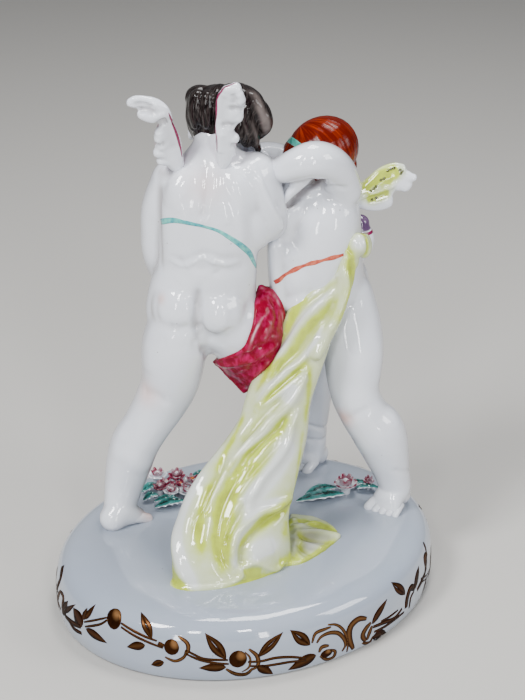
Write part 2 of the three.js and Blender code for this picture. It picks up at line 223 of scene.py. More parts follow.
def limb(name, stations, sides=24, steps=4, caps=5, wide=(1, 0, 0), wide_end=None, relief=None, paint=None):
    """A round-ended body through stations (x, y, z, half width, half depth) in millimetres.

    The width lies along `wide` and turns to `wide_end`. `relief` gives a height over the surface, and
    `paint` a share of colour, from the angle round the body and the share of the way along it. It is
    lofted in code because its girth and its lean change at every station.
    """
    line = smooth_line([s if len(s) == 5 else (*s, s[3]) for s in stations], steps)
    centres = line[:, :3]
    girths = np.maximum(line[:, 3:], LEAST_GIRTH)
    tangents = np.gradient(centres, axis=0)
    tangents /= np.linalg.norm(tangents, axis=1, keepdims=True)
    first_side = np.array(wide, float)
    last_side = np.array(wide_end if wide_end else wide, float)
    rings = []
    for i, ring in enumerate(zip(centres, girths, tangents)):
        rings.append((i / (len(centres) - 1), *ring))
    start = rings[0]
    end = rings[-1]
    quarter = math.pi / 2 / caps
    for k in range(1, caps):
        reach = math.sin(k * quarter)
        share = math.cos(k * quarter)
        rings.insert(0, (0.0, start[1] - start[3] * (min(start[2]) * reach), start[2] * share, start[3]))
        rings.append((1.0, end[1] + end[3] * (min(end[2]) * reach), end[2] * share, end[3]))
    points = []
    shares = []
    for t, centre, girth, axis in rings:
        side = first_side * (1 - t) + last_side * t
        side = side - axis * side.dot(axis)
        side /= np.linalg.norm(side)
        rise = np.cross(axis, side)
        for j in range(sides):
            angle = 2 * math.pi * j / sides
            height = relief(angle, t) if relief else 0
            across = side * (girth[0] + height) * math.cos(angle)
            through = rise * (girth[1] + height) * math.sin(angle)
            points.append(centre + across + through)
            shares.append(paint(angle, t) if paint else 0)
    faces = grid_faces(len(rings) - 1, sides, closed=True)
    pole = len(points)
    points.append(start[1] - start[3] * min(start[2]))
    points.append(end[1] + end[3] * min(end[2]))
    for j in range(sides):
        k = (j + 1) % sides
        faces.append((pole, k, j))
        faces.append((pole + 1, pole - sides + j, pole - sides + k))
    piece = new_piece(name, points, faces)
    if paint:
        set_share(piece, "paint", [*shares, shares[0], shares[-1]])
    return piece


def lump(name, centre, radii, turn=(0, 0, 0), segments=24):
    """An egg of clay at a place, turned by degrees about X, Y and Z."""
    bpy.ops.mesh.primitive_uv_sphere_add(
        segments=segments,
        ring_count=segments // 2 + 2,
        radius=MM,
        location=[c * MM for c in centre],
        rotation=[math.radians(a) for a in turn],
    )
    egg = bpy.context.object
    egg.name = name
    egg.scale = radii
    bpy.ops.object.transform_apply()
    return egg


def soften(piece, rounds, spared):
    """Smooths a skin, but spares it round the given places, each with its reach in millimetres."""
    places = skin_arrays(piece)[0]
    weights = np.ones(len(places))
    for place, reach in spared:
        gap = np.linalg.norm(places - np.array(tuple(place)), axis=1)
        weights = np.minimum(weights, np.clip((gap - reach) / 5, 0, 1))
    group = piece.vertex_groups.new(name="softened")
    for step in range(1, 6):
        chosen = np.nonzero(np.ceil(weights * 5) == step)[0]
        group.add(chosen.tolist(), step / 5, "REPLACE")
    smooth(piece, rounds, vertex_group="softened")
    piece.vertex_groups.clear()


def photo_limb(name, stations, **shape):
    """A limb whose stations are pixels of the photograph: x, y, depth in mm, half width in pixels and half
    thickness in mm. Its width lies across its run."""
    rows = []
    for x, y, depth, half, thickness in stations:
        place = on_plane((x, y), 1, depth)
        rows.append((*place, half * (place - CAMERA_PLACE).length / FOCAL_PIXELS, thickness))
    places = [Vector(row[:3]) for row in rows]
    first_run = places[1] - places[0]
    last_run = places[-1] - places[-2]
    across = (first_run.z, 0, -first_run.x)
    return limb(name, rows, wide=across, wide_end=(last_run.z, 0, -last_run.x), **shape)


# Working on a skin: places seen in the photograph, carving and painting

def sight(pixel):
    """The direction in which the photograph's camera sees a pixel."""
    ahead = Vector((0, math.cos(CAMERA_TILT), -math.sin(CAMERA_TILT)))
    up = Vector((0, math.sin(CAMERA_TILT), math.cos(CAMERA_TILT)))
    right = Vector((1, 0, 0))
    across = right * (pixel[0] - FRAME_WIDTH / 2) / FOCAL_PIXELS
    down = up * (pixel[1] - FRAME_HEIGHT / 2) / FOCAL_PIXELS
    return ahead + across - down


def skin_tree(piece):
    return BVHTree.FromObject(piece, bpy.context.evaluated_depsgraph_get())


def on_plane(pixel, axis, level):
    """The place, in millimetres, where a pixel's line of sight meets the plane on which an axis is level."""
    line = sight(pixel)
    return CAMERA_PLACE + line * ((level - CAMERA_PLACE[axis]) / line[axis])


def seen(tree, pixels):
    """The places, in millimetres, that pixels of the photograph show on a skin, or pass beside it."""
    places = []
    for pixel in pixels:
        line = sight(pixel).normalized()
        hit = tree.ray_cast(CAMERA_PLACE * MM, line)[0]
        if hit:
            places.append(hit / MM)
        else:
            along = [CAMERA_PLACE + line * reach for reach in range(520, 720, 4)]
            places.append(min(along, key=lambda place: tree.find_nearest(place * MM)[3]))
    return places


def nearest(tree, places):
    """The places on a skin that lie nearest to the given ones, in millimetres."""
    return [tree.find_nearest(Vector(p) * MM)[0] / MM for p in places]


def drape(name, trees, left_edge, right_edge, rows, columns, thickness, lift=0.0, hang=None):
    """A sheet of clay laid on skins between two edges given in pixels of the photograph. Where the skins
    lie deeper than `hang`, in mm, it hangs free."""
    left = smooth_line(left_edge, 12)
    right = smooth_line(right_edge, 12)
    points = []
    for i in range(rows + 1):
        start = left[round(i / rows * (len(left) - 1))]
        stop = right[round(i / rows * (len(right) - 1))]
        for k in range(columns + 1):
            pixel = start + (stop - start) * k / columns
            line = sight(pixel).normalized()
            hits = [tree.ray_cast(CAMERA_PLACE * MM, line)[0] for tree in trees]
            places = [hit / MM for hit in hits if hit] or seen(trees[0], [pixel])
            place = min(places, key=lambda place: (place - CAMERA_PLACE).length)
            if hang is not None and place.y > hang:
                place = on_plane(pixel, 1, hang)
            points.append(place - line * lift)
    sheet = new_piece(name, points, grid_faces(rows, columns + 1))
    smooth(sheet, 4)
    apply_modifier(sheet, "SOLIDIFY", thickness=thickness * MM, offset=0)
    turn_faces_out(sheet)
    return sheet


def skin_arrays(piece):
    """The places of a skin's points in millimetres, and the ways they face."""
    places = np.empty(len(piece.data.vertices) * 3)
    normals = np.empty_like(places)
    piece.data.vertices.foreach_get("co", places)
    piece.data.vertices.foreach_get("normal", normals)
    return places.reshape(-1, 3) / MM, normals.reshape(-1, 3)


def move_points(piece, places):
    piece.data.vertices.foreach_set("co", (places * MM).ravel())
    piece.data.update()


def stroke_strength(places, path, width):
    """How strongly a soft stroke along a path works at each place: fully on its line, less to the sides
    and at both ends."""
    line = smooth_line(path, 3)
    gaps = np.full(len(places), 1e9)
    along = np.zeros(len(places))
    for i, (start, stop) in enumerate(zip(line, line[1:])):
        stretch = stop - start
        length = max(stretch.dot(stretch), 1e-12)
        share = np.clip((places - start) @ stretch / length, 0, 1)
        gap = np.linalg.norm(places - start - share[:, None] * stretch, axis=1)
        closer = gap < gaps
        gaps[closer] = gap[closer]
        along[closer] = (i + share[closer]) / (len(line) - 1)
    ends = np.clip(np.minimum(along, 1 - along) * 5 + 0.35, 0, 1)
    return np.exp(-((gaps / width) ** 2)) * ends


def carve(piece, path, width, height):
    """Raises a skin along a path, or sinks it where the height is below zero."""
    places, normals = skin_arrays(piece)
    rise = height * stroke_strength(places, path, width)
    move_points(piece, places + normals * rise[:, None])


def carve_forms(piece, tree, forms, gain=1.0):
    """Carves forms along pixels of the photograph, each with its width and height in mm."""
    for pixels, width, height in forms:
        carve(piece, seen(tree, pixels), width, height * gain)


def share_on(piece, name):
    """The share of colour that each point of a piece carries under this name."""
    values = np.zeros(len(piece.data.vertices))
    held = piece.data.attributes.get(name)
    if held:
        held.data.foreach_get("value", values)
    return values


def set_share(piece, name, values):
    held = piece.data.attributes.get(name) or piece.data.attributes.new(name, "FLOAT", "POINT")
    held.data.foreach_set("value", values)


def tint(piece, name, path, width, amount):
    """Brushes colour into a skin along a path."""
    laid = amount * stroke_strength(skin_arrays(piece)[0], path, width)
    set_share(piece, name, np.clip(share_on(piece, name) + laid, 0, 1))


def tint_forms(piece, name, tree, forms):
    """Brushes colour in along pixels of the photograph, each path with its width in mm and its amount."""
    for pixels, width, amount in forms:
        tint(piece, name, seen(tree, pixels), width, amount)


def dab(piece, name, place, width, amount):
    """Dabs colour into a skin round one place."""
    gap = np.linalg.norm(skin_arrays(piece)[0] - np.array(place), axis=1)
    set_share(piece, name, np.clip(share_on(piece, name) + amount * np.exp(-((gap / width) ** 2)), 0, 1))


def mark_hollows(piece):
    """Stores how hollow the skin is at each point. The materials paint it darker there: partly pooled glaze,
    partly painted shade.
    """
    places, normals = skin_arrays(piece)
    ends = np.empty(len(piece.data.edges) * 2, int)
    piece.data.edges.foreach_get("vertices", ends)
    a, b = ends.reshape(-1, 2).T
    count = np.maximum(np.bincount(a, minlength=len(places)) + np.bincount(b, minlength=len(places)), 1)

    def averaged(values):
        total = np.zeros_like(values)
        np.add.at(total, a, values[b])
        np.add.at(total, b, values[a])
        return total / (count if values.ndim == 1 else count[:, None])

    soft = places
    for _ in range(HOLLOW_REACH):
        soft = averaged(soft)
    depth = np.einsum("ij,ij->i", soft - places, normals)
    for _ in range(3):
        depth = averaged(depth)
    set_share(piece, "hollow", np.clip(depth * HOLLOW_GAIN, 0, 1))


class Brush:
    """Collects thin films of paint that follow a skin, and makes them one piece."""

    def __init__(self, piece):
        self.tree = skin_tree(piece)
        self.points = []
        self.faces = []
        # Painted highlight of each point, as a share of gold brightness.
        self.burnish = []

    def draw(self, pixels, *shape, **look):
        """A stroke along pixels of the photograph."""
        self.stroke(seen(self.tree, pixels), *shape, **look)

    def stroke(self, path, width, profile=None, across=4, spacing=0.7, burnish=0.24, highlight_spot=None):
        """A film along a path of places near the skin, `width` mm wide where the profile is 1. Its painted
        highlight is brightest along its middle line, or else on the one spot given as along, and out."""
        line = smooth_line(path, 8)
        lengths = np.r_[0, np.cumsum(np.linalg.norm(np.diff(line, axis=0), axis=1))]
        count = max(4, int(lengths[-1] / spacing))
        marks = np.linspace(0, lengths[-1], count + 1)
        line = np.stack([np.interp(marks, lengths, line[:, k]) for k in range(3)], 1)
        base = len(self.points)
        for i, (place, run) in enumerate(zip(line, np.gradient(line, axis=0))):
            hit, normal = self.tree.find_nearest(Vector(place) * MM)[:2]
            side = Vector(run).cross(normal).normalized()
            half = width / 2 * max(profile(i / count) if profile else 1, THINNEST_STROKE)
            for k in range(across + 1):
                out = 2 * k / across - 1
                foot, lean = self.tree.find_nearest(hit + side * half * out * MM)[:2]
                self.points.append((foot + lean * PAINT_GAP * MM) / MM)
                gap = 1.3 * math.hypot(out - highlight_spot[1], 2 * (i / count - highlight_spot[0])) if highlight_spot else abs(out)
                self.burnish.append(burnish * max(0.0, 1 - gap))
        self.faces += grid_faces(count, across + 1, base=base)

    def finish(self, name):
        film = new_piece(name, self.points, self.faces)
        apply_modifier(film, "SOLIDIFY", thickness=settings().paint_film, offset=1)
        # Each point's painted highlight, for the gilding's material.
        set_share(film, "burnish", np.resize(self.burnish, len(film.data.vertices)))
        shade_smooth(film)
        return film


def pointed(t):
    """A brush stroke that starts and ends in a point."""
    return math.sin(math.pi * min(max(t, 0), 1)) ** 0.8


def tapered(t):
    """A brush stroke that narrows to half its width at its ends."""
    return 0.45 + 0.55 * pointed(t)


def leaf_like(t):
    """A painted leaf: full near its stalk and drawn to a fine tip."""
    return math.sin(math.pi * t ** 0.75) ** 0.9


def round_dab(t):
    """A round touch of the brush."""
    return math.sqrt(max(0.0, 1 - (2 * t - 1) ** 2))


# Materials

class Recipe:
    """A material in the making: its shader, and the nodes that build its colour. `ripple` is the
    wavelength and the depth, in mm, of the waves in the fired glaze, which bend the highlights."""

    def __init__(self, name, roughness, coat=0.6, metallic=0.0, gloss=0.5, ripple=None):
        self.material = bpy.data.materials.new(name)
        self.material.use_nodes = True
        self.tree = self.material.node_tree
        self.shader = self.tree.nodes["Principled BSDF"].inputs
        self.shader["Roughness"].default_value = roughness
        self.shader["Metallic"].default_value = metallic
        self.shader["Specular IOR Level"].default_value = gloss
        self.shader["Coat Weight"].default_value = coat
        self.shader["Coat Roughness"].default_value = 0.03
        if ripple:
            wavelength, depth = ripple
            self.place = self.add("ShaderNodeTexCoord").outputs["Object"]
            self.wave = self.noise(self.place, wavelength * MM, detail=2.0, roughness=0.4)
            values = {"Strength": 1.0, "Distance": depth * MM}
            bump = self.add("ShaderNodeBump", values=values, links={"Height": self.wave})
            for socket in ("Normal", "Coat Normal"):
                self.tree.links.new(bump.outputs["Normal"], self.shader[socket])

    def add(self, kind, choices=None, values=None, links=None):
        """Adds a node with its choices, its fixed input values and the sockets that feed it."""
        made = self.tree.nodes.new(kind)
        for key, value in (choices or {}).items():
            setattr(made, key, value)
        for key, value in (values or {}).items():
            made.inputs[key].default_value = value
        for key, source in (links or {}).items():
            self.tree.links.new(source, made.inputs[key])
        return made

    def noise(self, source, size, detail=3.0, roughness=0.5, distortion=0.0):
        """A cloudy grey whose patches are `size` wide."""
        values = {"Scale": 1 / size, "Detail": detail, "Roughness": roughness, "Distortion": distortion}
        return self.add("ShaderNodeTexNoise", values=values, links={"Vector": source}).outputs["Fac"]

    def painted(self, name):
        """The share of colour that the piece carries under this name."""
        return self.add("ShaderNodeAttribute", {"attribute_name": name}).outputs["Fac"]

    def spread(self, source, low, high, first=0.0, last=1.0):
        """Spreads a value from low to high over the shares first to last."""
        values = {"From Min": low, "From Max": high, "To Min": first, "To Max": last}
        return self.add("ShaderNodeMapRange", values=values, links={"Value": source}).outputs["Result"]

    def turned(self, most):
        """How far the surface turns away from the eye, as a share of at most `most`: the materials paint
        shade by it.
        """
        facing = self.add("ShaderNodeLayerWeight", values={"Blend": 0.5})
        return self.spread(facing.outputs["Facing"], 0.35, 1.0, 0.0, most)

    def times(self, first, second):
        product = self.add("ShaderNodeMath", {"operation": "MULTIPLY"}, links={0: first, 1: second})
        return product.outputs["Value"]

    def mixed(self, share, first, second):
        """Mixes two colours by a share. Each is a socket, a number, or a colour's name or code."""
        mixer = self.add("ShaderNodeMix", {"data_type": "RGBA"})
        for index, source in ((0, share), (6, first), (7, second)):
            if hasattr(source, "links"):
                self.tree.links.new(source, mixer.inputs[index])
            else:
                mixer.inputs[index].default_value = tone(source) if isinstance(source, str) else source
        return mixer.outputs[2]

    def finish(self, colour):
        self.tree.links.new(colour, self.shader["Base Color"])
        return self.material


def glazed_porcelain(name, white, deep):
    """White porcelain under clear glaze: faintly cloudy, with a few iron specks, and grey where the glaze
    pools in hollows, with painted shade there and where it turns away from the eye."""
    glaze = Recipe(name, roughness=0.07, coat=0.5, ripple=(9, 0.035))
    cloud = glaze.spread(glaze.noise(glaze.place, 22 * MM), 0.4, 0.7, 0.0, 0.12)
    # Painted shade where the surface turns away from the eye.
    rim_shaded = glaze.mixed(glaze.turned(0.5), glaze.mixed(cloud, white, deep), deep)
    # Pooled glaze and painted shade in the hollows.
    pooled_and_shaded = glaze.spread(glaze.painted("hollow"), 0.04, 0.7, 0.0, 0.85)
    flushed = glaze.mixed(glaze.painted("blush"), glaze.mixed(pooled_and_shaded, rim_shaded, deep), "blush")
    grain = glaze.add("ShaderNodeTexVoronoi", values={"Scale": 1 / (8 * MM)}, links={"Vector": glaze.place})
    speck = glaze.spread(grain.outputs["Distance"], 0.022, 0.034, 0.55, 0.0)
    return glaze.finish(glaze.mixed(speck, flushed, "#5b4632"))


def streaked_enamel(name, main, light, strand, share=0.5, tall=None, roughness=0.1, gloss=0.25, ridge_highlight=None):
    """Enamel brushed on in streaks, thin enough that the white glaze lights it between the strokes. Where
    `tall` is given, the streaks are `strand` mm wide and run up and down, that many times as long. Else they
    follow combed hair. The ridge colour is that of the pale lines on ridges: enamel ran off there, and
    painted highlights lie along them."""
    enamel = Recipe(name, roughness, coat=0.0, gloss=gloss, ripple=(3, 0.03))
    if tall:
        values = {"Scale": (1.0, 1.0, 1.0 / tall)}
        source = enamel.add("ShaderNodeMapping", values=values, links={"Vector": enamel.place})
        size = strand * MM
    else:
        source = enamel.add("ShaderNodeAttribute", {"attribute_name": "combed"})
        size = strand
    hairs = enamel.noise(source.outputs["Vector"], size, distortion=0.4)
    washed = enamel.mixed(enamel.spread(hairs, 0.45, 0.75, 0.0, share), main, light)
    return enamel.finish(enamel.mixed(enamel.painted("bare"), washed, ridge_highlight or light))


def washed_enamel(name, white, wash, deep, attribute, brush=5.0):
    """Thin enamel washed over white glaze: it leaves the ridges white, runs into the folds and is darkest
    where it pools. Painted shade darkens the wash and the glaze in the hollows, and the glaze where it
    turns away from the eye. `brush` is the width in mm of its strokes."""
    glaze = Recipe(name, roughness=0.07, coat=0.4, ripple=(5, 0.03))
    cloud = glaze.noise(glaze.place, brush * MM, detail=4.0, roughness=0.6)
    laid = glaze.times(glaze.painted(attribute), glaze.spread(cloud, 0.3, 0.7, 0.75, 1.15))
    hollow = glaze.painted("hollow")
    # Painted shade where the glaze turns away from the eye.
    rim_shaded = glaze.mixed(glaze.turned(0.4), white, "glaze_deep_and_shade")
    # Painted shade in the hollows, on the glaze here and on the wash below.
    shaded = glaze.mixed(glaze.spread(hollow, 0.04, 0.7, 0.0, 0.7), rim_shaded, "glaze_deep_and_shade")
    tinted = glaze.mixed(glaze.spread(laid, 0.05, 0.8), shaded, glaze.mixed(hollow, wash, deep))
    return glaze.finish(glaze.mixed(glaze.spread(laid, 0.85, 1.3), tinted, deep))


def petal_enamel():
    """Petals of white glaze with pink brushed from their tips, round a heart of iron red and yellow."""
    glaze = Recipe("pink-tipped petal enamel", roughness=0.1, ripple=(2, 0.01))
    brushed = glaze.spread(glaze.painted("paint"), 0.0, 2 / 3)
    uneven = glaze.times(brushed, glaze.spread(glaze.wave, 0.3, 0.55, 0.55, 1.0))
    tinted = glaze.mixed(uneven, glaze.mixed(0.18, "glaze", "glaze_deep_and_shade"), "petal_pink")
    warm = glaze.mixed(glaze.wave, "#b8381a", "#d98a2c")
    return glaze.finish(glaze.mixed(glaze.painted("heart"), tinted, warm))


def plain_enamel(name, main, shade):
    """Opaque enamel laid on with a loaded brush: one colour that is a little deeper where it is thick."""
    enamel = Recipe(name, roughness=0.12, coat=0.4, ripple=(2, 0.02))
    share = enamel.spread(enamel.noise(enamel.place, 2 * MM), 0.35, 0.65)
    return enamel.finish(enamel.mixed(share, main, shade))


def fired_gilding():
    """Brown gold fired on the glaze: dark and metallic, with lighter gold painted on as highlights."""
    gilt = Recipe("burnished brown gold", roughness=0.32, coat=0.0, metallic=0.7, ripple=(1.6, 0.04))
    gilt.shader["Specular Tint"].default_value = linear("#6a4a2a")
    brown = gilt.mixed(gilt.wave, "#1c0d05", "#3c1f0c")
    # The lighter gold is a painted highlight, laid along each stroke's middle and on the domes' tops.
    bright = gilt.spread(gilt.painted("burnish"), 0.08, 0.75)
    return gilt.finish(gilt.mixed(bright, brown, "gold"))


def finish_piece(piece, material, slot, *nodes):
    """Gives a piece its material and its body, and hides the solids that it stands for. Its slot is not used.
    """
    piece.data.materials.clear()
    piece.data.materials.append(material)
    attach(piece, "root")
    if nodes:
        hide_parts(*nodes)


def finish_figures(material, *pieces):
    """Finishes pieces that were modelled as part of the fired group."""
    for piece in pieces:
        finish_piece(piece, material, "figure_glaze", "cupid_group")


def finish_paint(material, *films):
    """Finishes films of paint on the group."""
    for film in films:
        finish_piece(film, material, "figure_glaze")


# The plinth

# Half profile: radius along the long axis, then height, in millimetres.
PLINTH_PROFILE = [
    (0, 0), (60, 0), (64.8, 0), (65.7, 0.35), (66.4, 1.3), (67, 4.5), (67.05, 8.5), (66.9, 12.4),
    (66.4, 14.8), (65.4, 16.9), (63.8, 18.6), (61.2, 19.9), (57, 20.8), (47, 21.8), (36, 22.4), (18, 22.85),
    (0, PLINTH_TOP),
]


def wall_place(angle, height):
    """A place on the plinth's wall, at an angle round Z in degrees and a height in millimetres."""
    chosen = settings()
    bearing = math.radians(angle)
    along = math.cos(bearing - chosen.plinth_turn) / chosen.plinth_half_length
    across = math.sin(bearing - chosen.plinth_turn) / chosen.plinth_half_width
    reach = 1 / math.hypot(along, across) / MM
    return reach * math.cos(bearing), reach * math.sin(bearing), height


def build_plinth():
    """Turned oval drum: its half profile is swept round Z, then pressed oval and turned."""
    outline = smooth_line([(r, 0, z) for r, z in PLINTH_PROFILE], 3)
    edges = [(i, i + 1) for i in range(len(outline) - 1)]
    plinth = new_piece("oval_plinth", [(max(x, 0), 0, z) for x, y, z in outline], [], edges)
    sweep = {"angle": 2 * math.pi, "steps": PLINTH_SIDES, "render_steps": PLINTH_SIDES}
    apply_modifier(plinth, "SCREW", **sweep, use_merge_vertices=True, merge_threshold=1e-6)
    turn_faces_out(plinth)
    chosen = settings()
    plinth.scale = (1, chosen.plinth_half_width / chosen.plinth_half_length, 1)
    bpy.ops.object.transform_apply()
    plinth.rotation_euler = (0, 0, chosen.plinth_turn)
    bpy.ops.object.transform_apply()
    shade_smooth(plinth)
    return plinth


# The cupids: stations are (x, y, z, half width, half depth) in millimetres

TRUNK_ONE = [
    (-14, 5.4, 91, 12, 7.6), (-14.6, 5, 96, 17.4, 9), (-13.8, 4.6, 104.8, 17.4, 10.2),
    (-12.4, 3.6, 112, 16.2, 10.4), (-11.7, 2.8, 119, 15.6, 10.4), (-11.2, 2.2, 127.4, 16, 10.6),
    (-10.8, 3, 136, 16.4, 10.6), (-10.4, 4.4, 143, 14.8, 9.4), (-10, 6.6, 148.6, 10.4, 7.8),
    (-9.4, 9.6, 153, 7, 6.6), (-8.8, 12, 157, 6.6, 6.4),
]
LEFT_LEG_ONE = [
    (-19.6, 3.5, 97, 10.6), (-22.9, 3, 87.3, 11), (-24.5, 4, 75, 9.8), (-27.8, 5, 66.5, 8.9),
    (-33, 5, 57.3, 8), (-36.8, 5, 51, 8.2), (-39, 5.5, 44, 7.9), (-41, 5.4, 35.6, 6.8), (-42.8, 3.6, 27, 5.4),
]
RIGHT_LEG_ONE = [
    (-4.5, 5, 95, 11.4), (1.3, 9, 84.9, 11.2), (8.6, 15, 73.5, 10), (13.6, 21, 63.2, 8.8),
    (13.4, 25, 53, 8.1), (10.8, 28, 41.9, 7.8), (8, 31, 31.8, 6), (7, 32, 27, 5.4),
]
LEFT_ARM_ONE = [
    (-22.6, 5.5, 143, 6.8), (-26.4, 8, 133, 6.5), (-27.4, 10, 124, 6.2), (-27.4, 12, 115.7, 5.9),
    (-25.8, 17, 107, 5.2), (-22.5, 23.5, 100, 4.4), (-18.5, 27.5, 95.5, 3.3),
]
RIGHT_ARM_ONE = [
    (3, 4.2, 145, 7.4), (6, 4.8, 135.8, 6.8), (7.8, 7, 127.8, 5.8), (6.8, 14.5, 127.2, 5.1),
    (5.6, 22, 129, 4.3), (6.2, 28, 131, 3.3),
]
TRUNK_TWO = [
    (27.6, 27, 82, 9.5, 8.5), (26.4, 25.6, 90.5, 15.5, 12), (24.4, 23.8, 99.8, 16.6, 13.6),
    (22.6, 21.6, 109, 16.6, 14.8), (22.4, 20, 117.5, 16.6, 14.8), (23, 19, 125.4, 16.2, 13.4),
    (24.6, 18.8, 132, 14.6, 11), (25.8, 18.8, 137, 10.6, 8.6), (25.2, 18.6, 142, 6.6, 6.2),
]
LEFT_LEG_TWO = [
    (31.6, 20, 97, 10.6), (34.3, 17.6, 88.2, 10.4), (35.5, 15.4, 79.7, 10.2), (35.6, 14, 71.4, 9.2),
    (36.4, 12.6, 64.7, 8.2), (39.8, 12.2, 57.5, 8.2), (43.6, 12.7, 52.4, 9.1), (45.8, 13.6, 47.4, 8.8),
    (47.6, 14.7, 41.2, 7.7), (49.4, 16, 34.6, 6.4), (51, 17, 28, 5.5),
]
RIGHT_LEG_TWO = [
    (22, 28, 95, 10.4), (22.6, 32, 86, 10), (22.4, 36, 72.8, 9.2), (22.4, 40, 58, 8), (22, 43.2, 46, 7.4),
    (22.6, 45.6, 35.4, 5.9), (23, 46.6, 28, 5.2),
]
LEFT_ARM_TWO = [
    (31.4, 12.6, 137.2, 5.8), (29, 8.6, 144.4, 5.9), (25.2, 4.8, 148.8, 6.1), (20.8, 2, 150.6, 5.9),
    (16.4, 1.6, 149.4, 5.3), (12, 4, 146.8, 4.5), (8.2, 8.4, 144.4, 3.5),
]
RIGHT_ARM_TWO = [
    (17.6, 27.6, 135.6, 6.8), (12.4, 31.4, 139.6, 5.8), (6, 30.4, 142, 5), (1, 25, 142, 4),
    (-1, 20.4, 141.4, 3.3),
]


class Head:
    """A head's axes: x to its right, y to where it looks, z to its crown, in shares of half its height."""

    def __init__(self, centre, height, looks, crown):
        forward = Vector(looks).normalized()
        right = forward.cross(Vector(crown)).normalized()
        up = right.cross(forward)
        self.axes = Matrix((right, forward, up)).transposed()
        self.centre = Vector(centre)
        self.half = height / 2

    def place(self, at):
        return self.centre + self.axes @ (Vector(at) * self.half)

    def lump(self, at, radii):
        egg = lump("head_lump", (0, 0, 0), [r * self.half for r in radii])
        egg.matrix_world = Matrix.Translation(self.place(at) * MM) @ self.axes.to_4x4()
        bpy.ops.object.transform_apply()
        return egg

    def lumps(self, forms):
        """Lumps at their places. One that lies beside the middle has its like on the other side."""
        made = []
        for (x, y, z), radii in forms:
            for side in ((-1, 1) if x else (1,)):
                made.append(self.lump((side * x, y, z), radii))
        return made


def head_one():
    height = settings().head_one / MM
    return Head((-7.6, 16.4, 156), height, looks=(0.38, 0.83, -0.42), crown=(0.1, 0.45, 0.9))


def head_two():
    height = settings().head_two / MM
    return Head((24.6, 20, 144.4), height, looks=(-0.78, 0.32, -0.54), crown=(-0.42, 0.05, 0.9))


class Foot:
    """A child's foot from heel to instep. `outward` is 1 where the little toe lies left of its run."""

    def __init__(self, heel, instep, sole, outward, bare_toes=1.0):
        self.heel = Vector((*heel, 0))
        self.instep = Vector((*instep, sole + 2))
        self.run = Vector((instep[0] - heel[0], instep[1] - heel[1], 0))
        self.length = self.run.length
        self.run.normalize()
        self.across = Vector((-self.run.y, self.run.x, 0)) * outward
        self.sole = sole
        self.bare_toes = bare_toes

    def at(self, along, out, height):
        return (*(self.heel + self.run * along + self.across * out).xy, self.sole + height)

    def flesh(self):
        stations = [
            (*self.at(0, 0, 4.2), 4.7, 4.7),
            (*self.at(self.length * 0.3, 0, 5.4), 5, 5.4),
            (*self.at(self.length * 0.6, 0, 4.2), 5.5, 4.2),
            (*self.at(self.length - 2.4 * self.bare_toes, 0, 2.6), 5.5, 2.6),
        ]
        return limb("foot", stations, wide=tuple(self.across))

    def toes(self):
        """Five round toes side by side, each a little further back than the last."""
        pieces = []
        for order, (out, size) in enumerate(((-4.4, 1.9), (-1.6, 1.5), (0.9, 1.4), (3.2, 1.3), (5.3, 1.2))):
            reach = self.length + 0.9 - 0.12 * order * order
            stations = [
                (*self.at(reach - 4.6, out * 0.84, size + 1.6), size * 0.95),
                (*self.at(reach - 2.2, out * 0.93, size + 1.0), size),
                (*self.at(reach, out, size), size * 0.96),
            ]
            pieces.append(limb("toe", stations, sides=16, steps=3, caps=5))
        return pieces


def hand(wrist, palm, tips, spread):
    """A chubby hand with four fingers side by side and a thumb."""
    across = Vector(spread).normalized()
    knuckles = Vector(palm)
    pieces = [limb("palm", [(*wrist, 3.1, 2.5), (*palm, 4, 2.1)], wide=spread, sides=16)]
    for share, reach in ((-1.5, 0.92), (-0.5, 1.05), (0.5, 1.0), (1.5, 0.82)):
        root = knuckles + across * share * 1.95
        tip = knuckles.lerp(Vector(tips), reach) + across * share * 2.1
        middle = root.lerp(tip, 0.5)
        pieces.append(limb("finger", [(*root, 1.35), (*middle, 1.3), (*tip, 1.1)], sides=12, caps=4))
    thumb_root = Vector(wrist).lerp(knuckles, 0.5) - across * 2.6
    thumb_tip = (thumb_root - across * 2).lerp(Vector(tips), 0.4)
    pieces.append(limb("thumb", [(*thumb_root, 1.6), (*thumb_tip, 1.2)], sides=12, caps=4))
    return pieces


FEET_ONE = (Foot((-44.8, -0.2), (-37, 6.4), 20.8, 1, bare_toes=0.3), Foot((6.4, 31.4), (9.4, 43), 20.8, -1))
FEET_TWO = (Foot((52, 18.4), (45.8, 10.6), 20.2, 1), Foot((24.6, 48.4), (18.6, 42.4), 20.2, -1))

# Hands: wrist, palm, finger tips and the way in which the fingers lie side by side.
HANDS_ONE = (
    ((-18.5, 26.5, 96.5), (-15, 26, 93.6), (-11, 22.6, 91), (0.6, 0, -0.8)),
    ((6.2, 28, 131), (8.6, 31.4, 131.6), (14, 35.6, 131), (0.1, -0.3, 0.95)),
)
HANDS_TWO = (
    ((8.2, 8.4, 144.4), (4.4, 12, 147), (-1, 15.4, 148.6), (0.5, -0.3, 0.8)),
    ((-1, 20.4, 141.4), (-4, 17.2, 140.8), (-9.6, 14.8, 140), (0.1, 0.2, 0.97)),
)

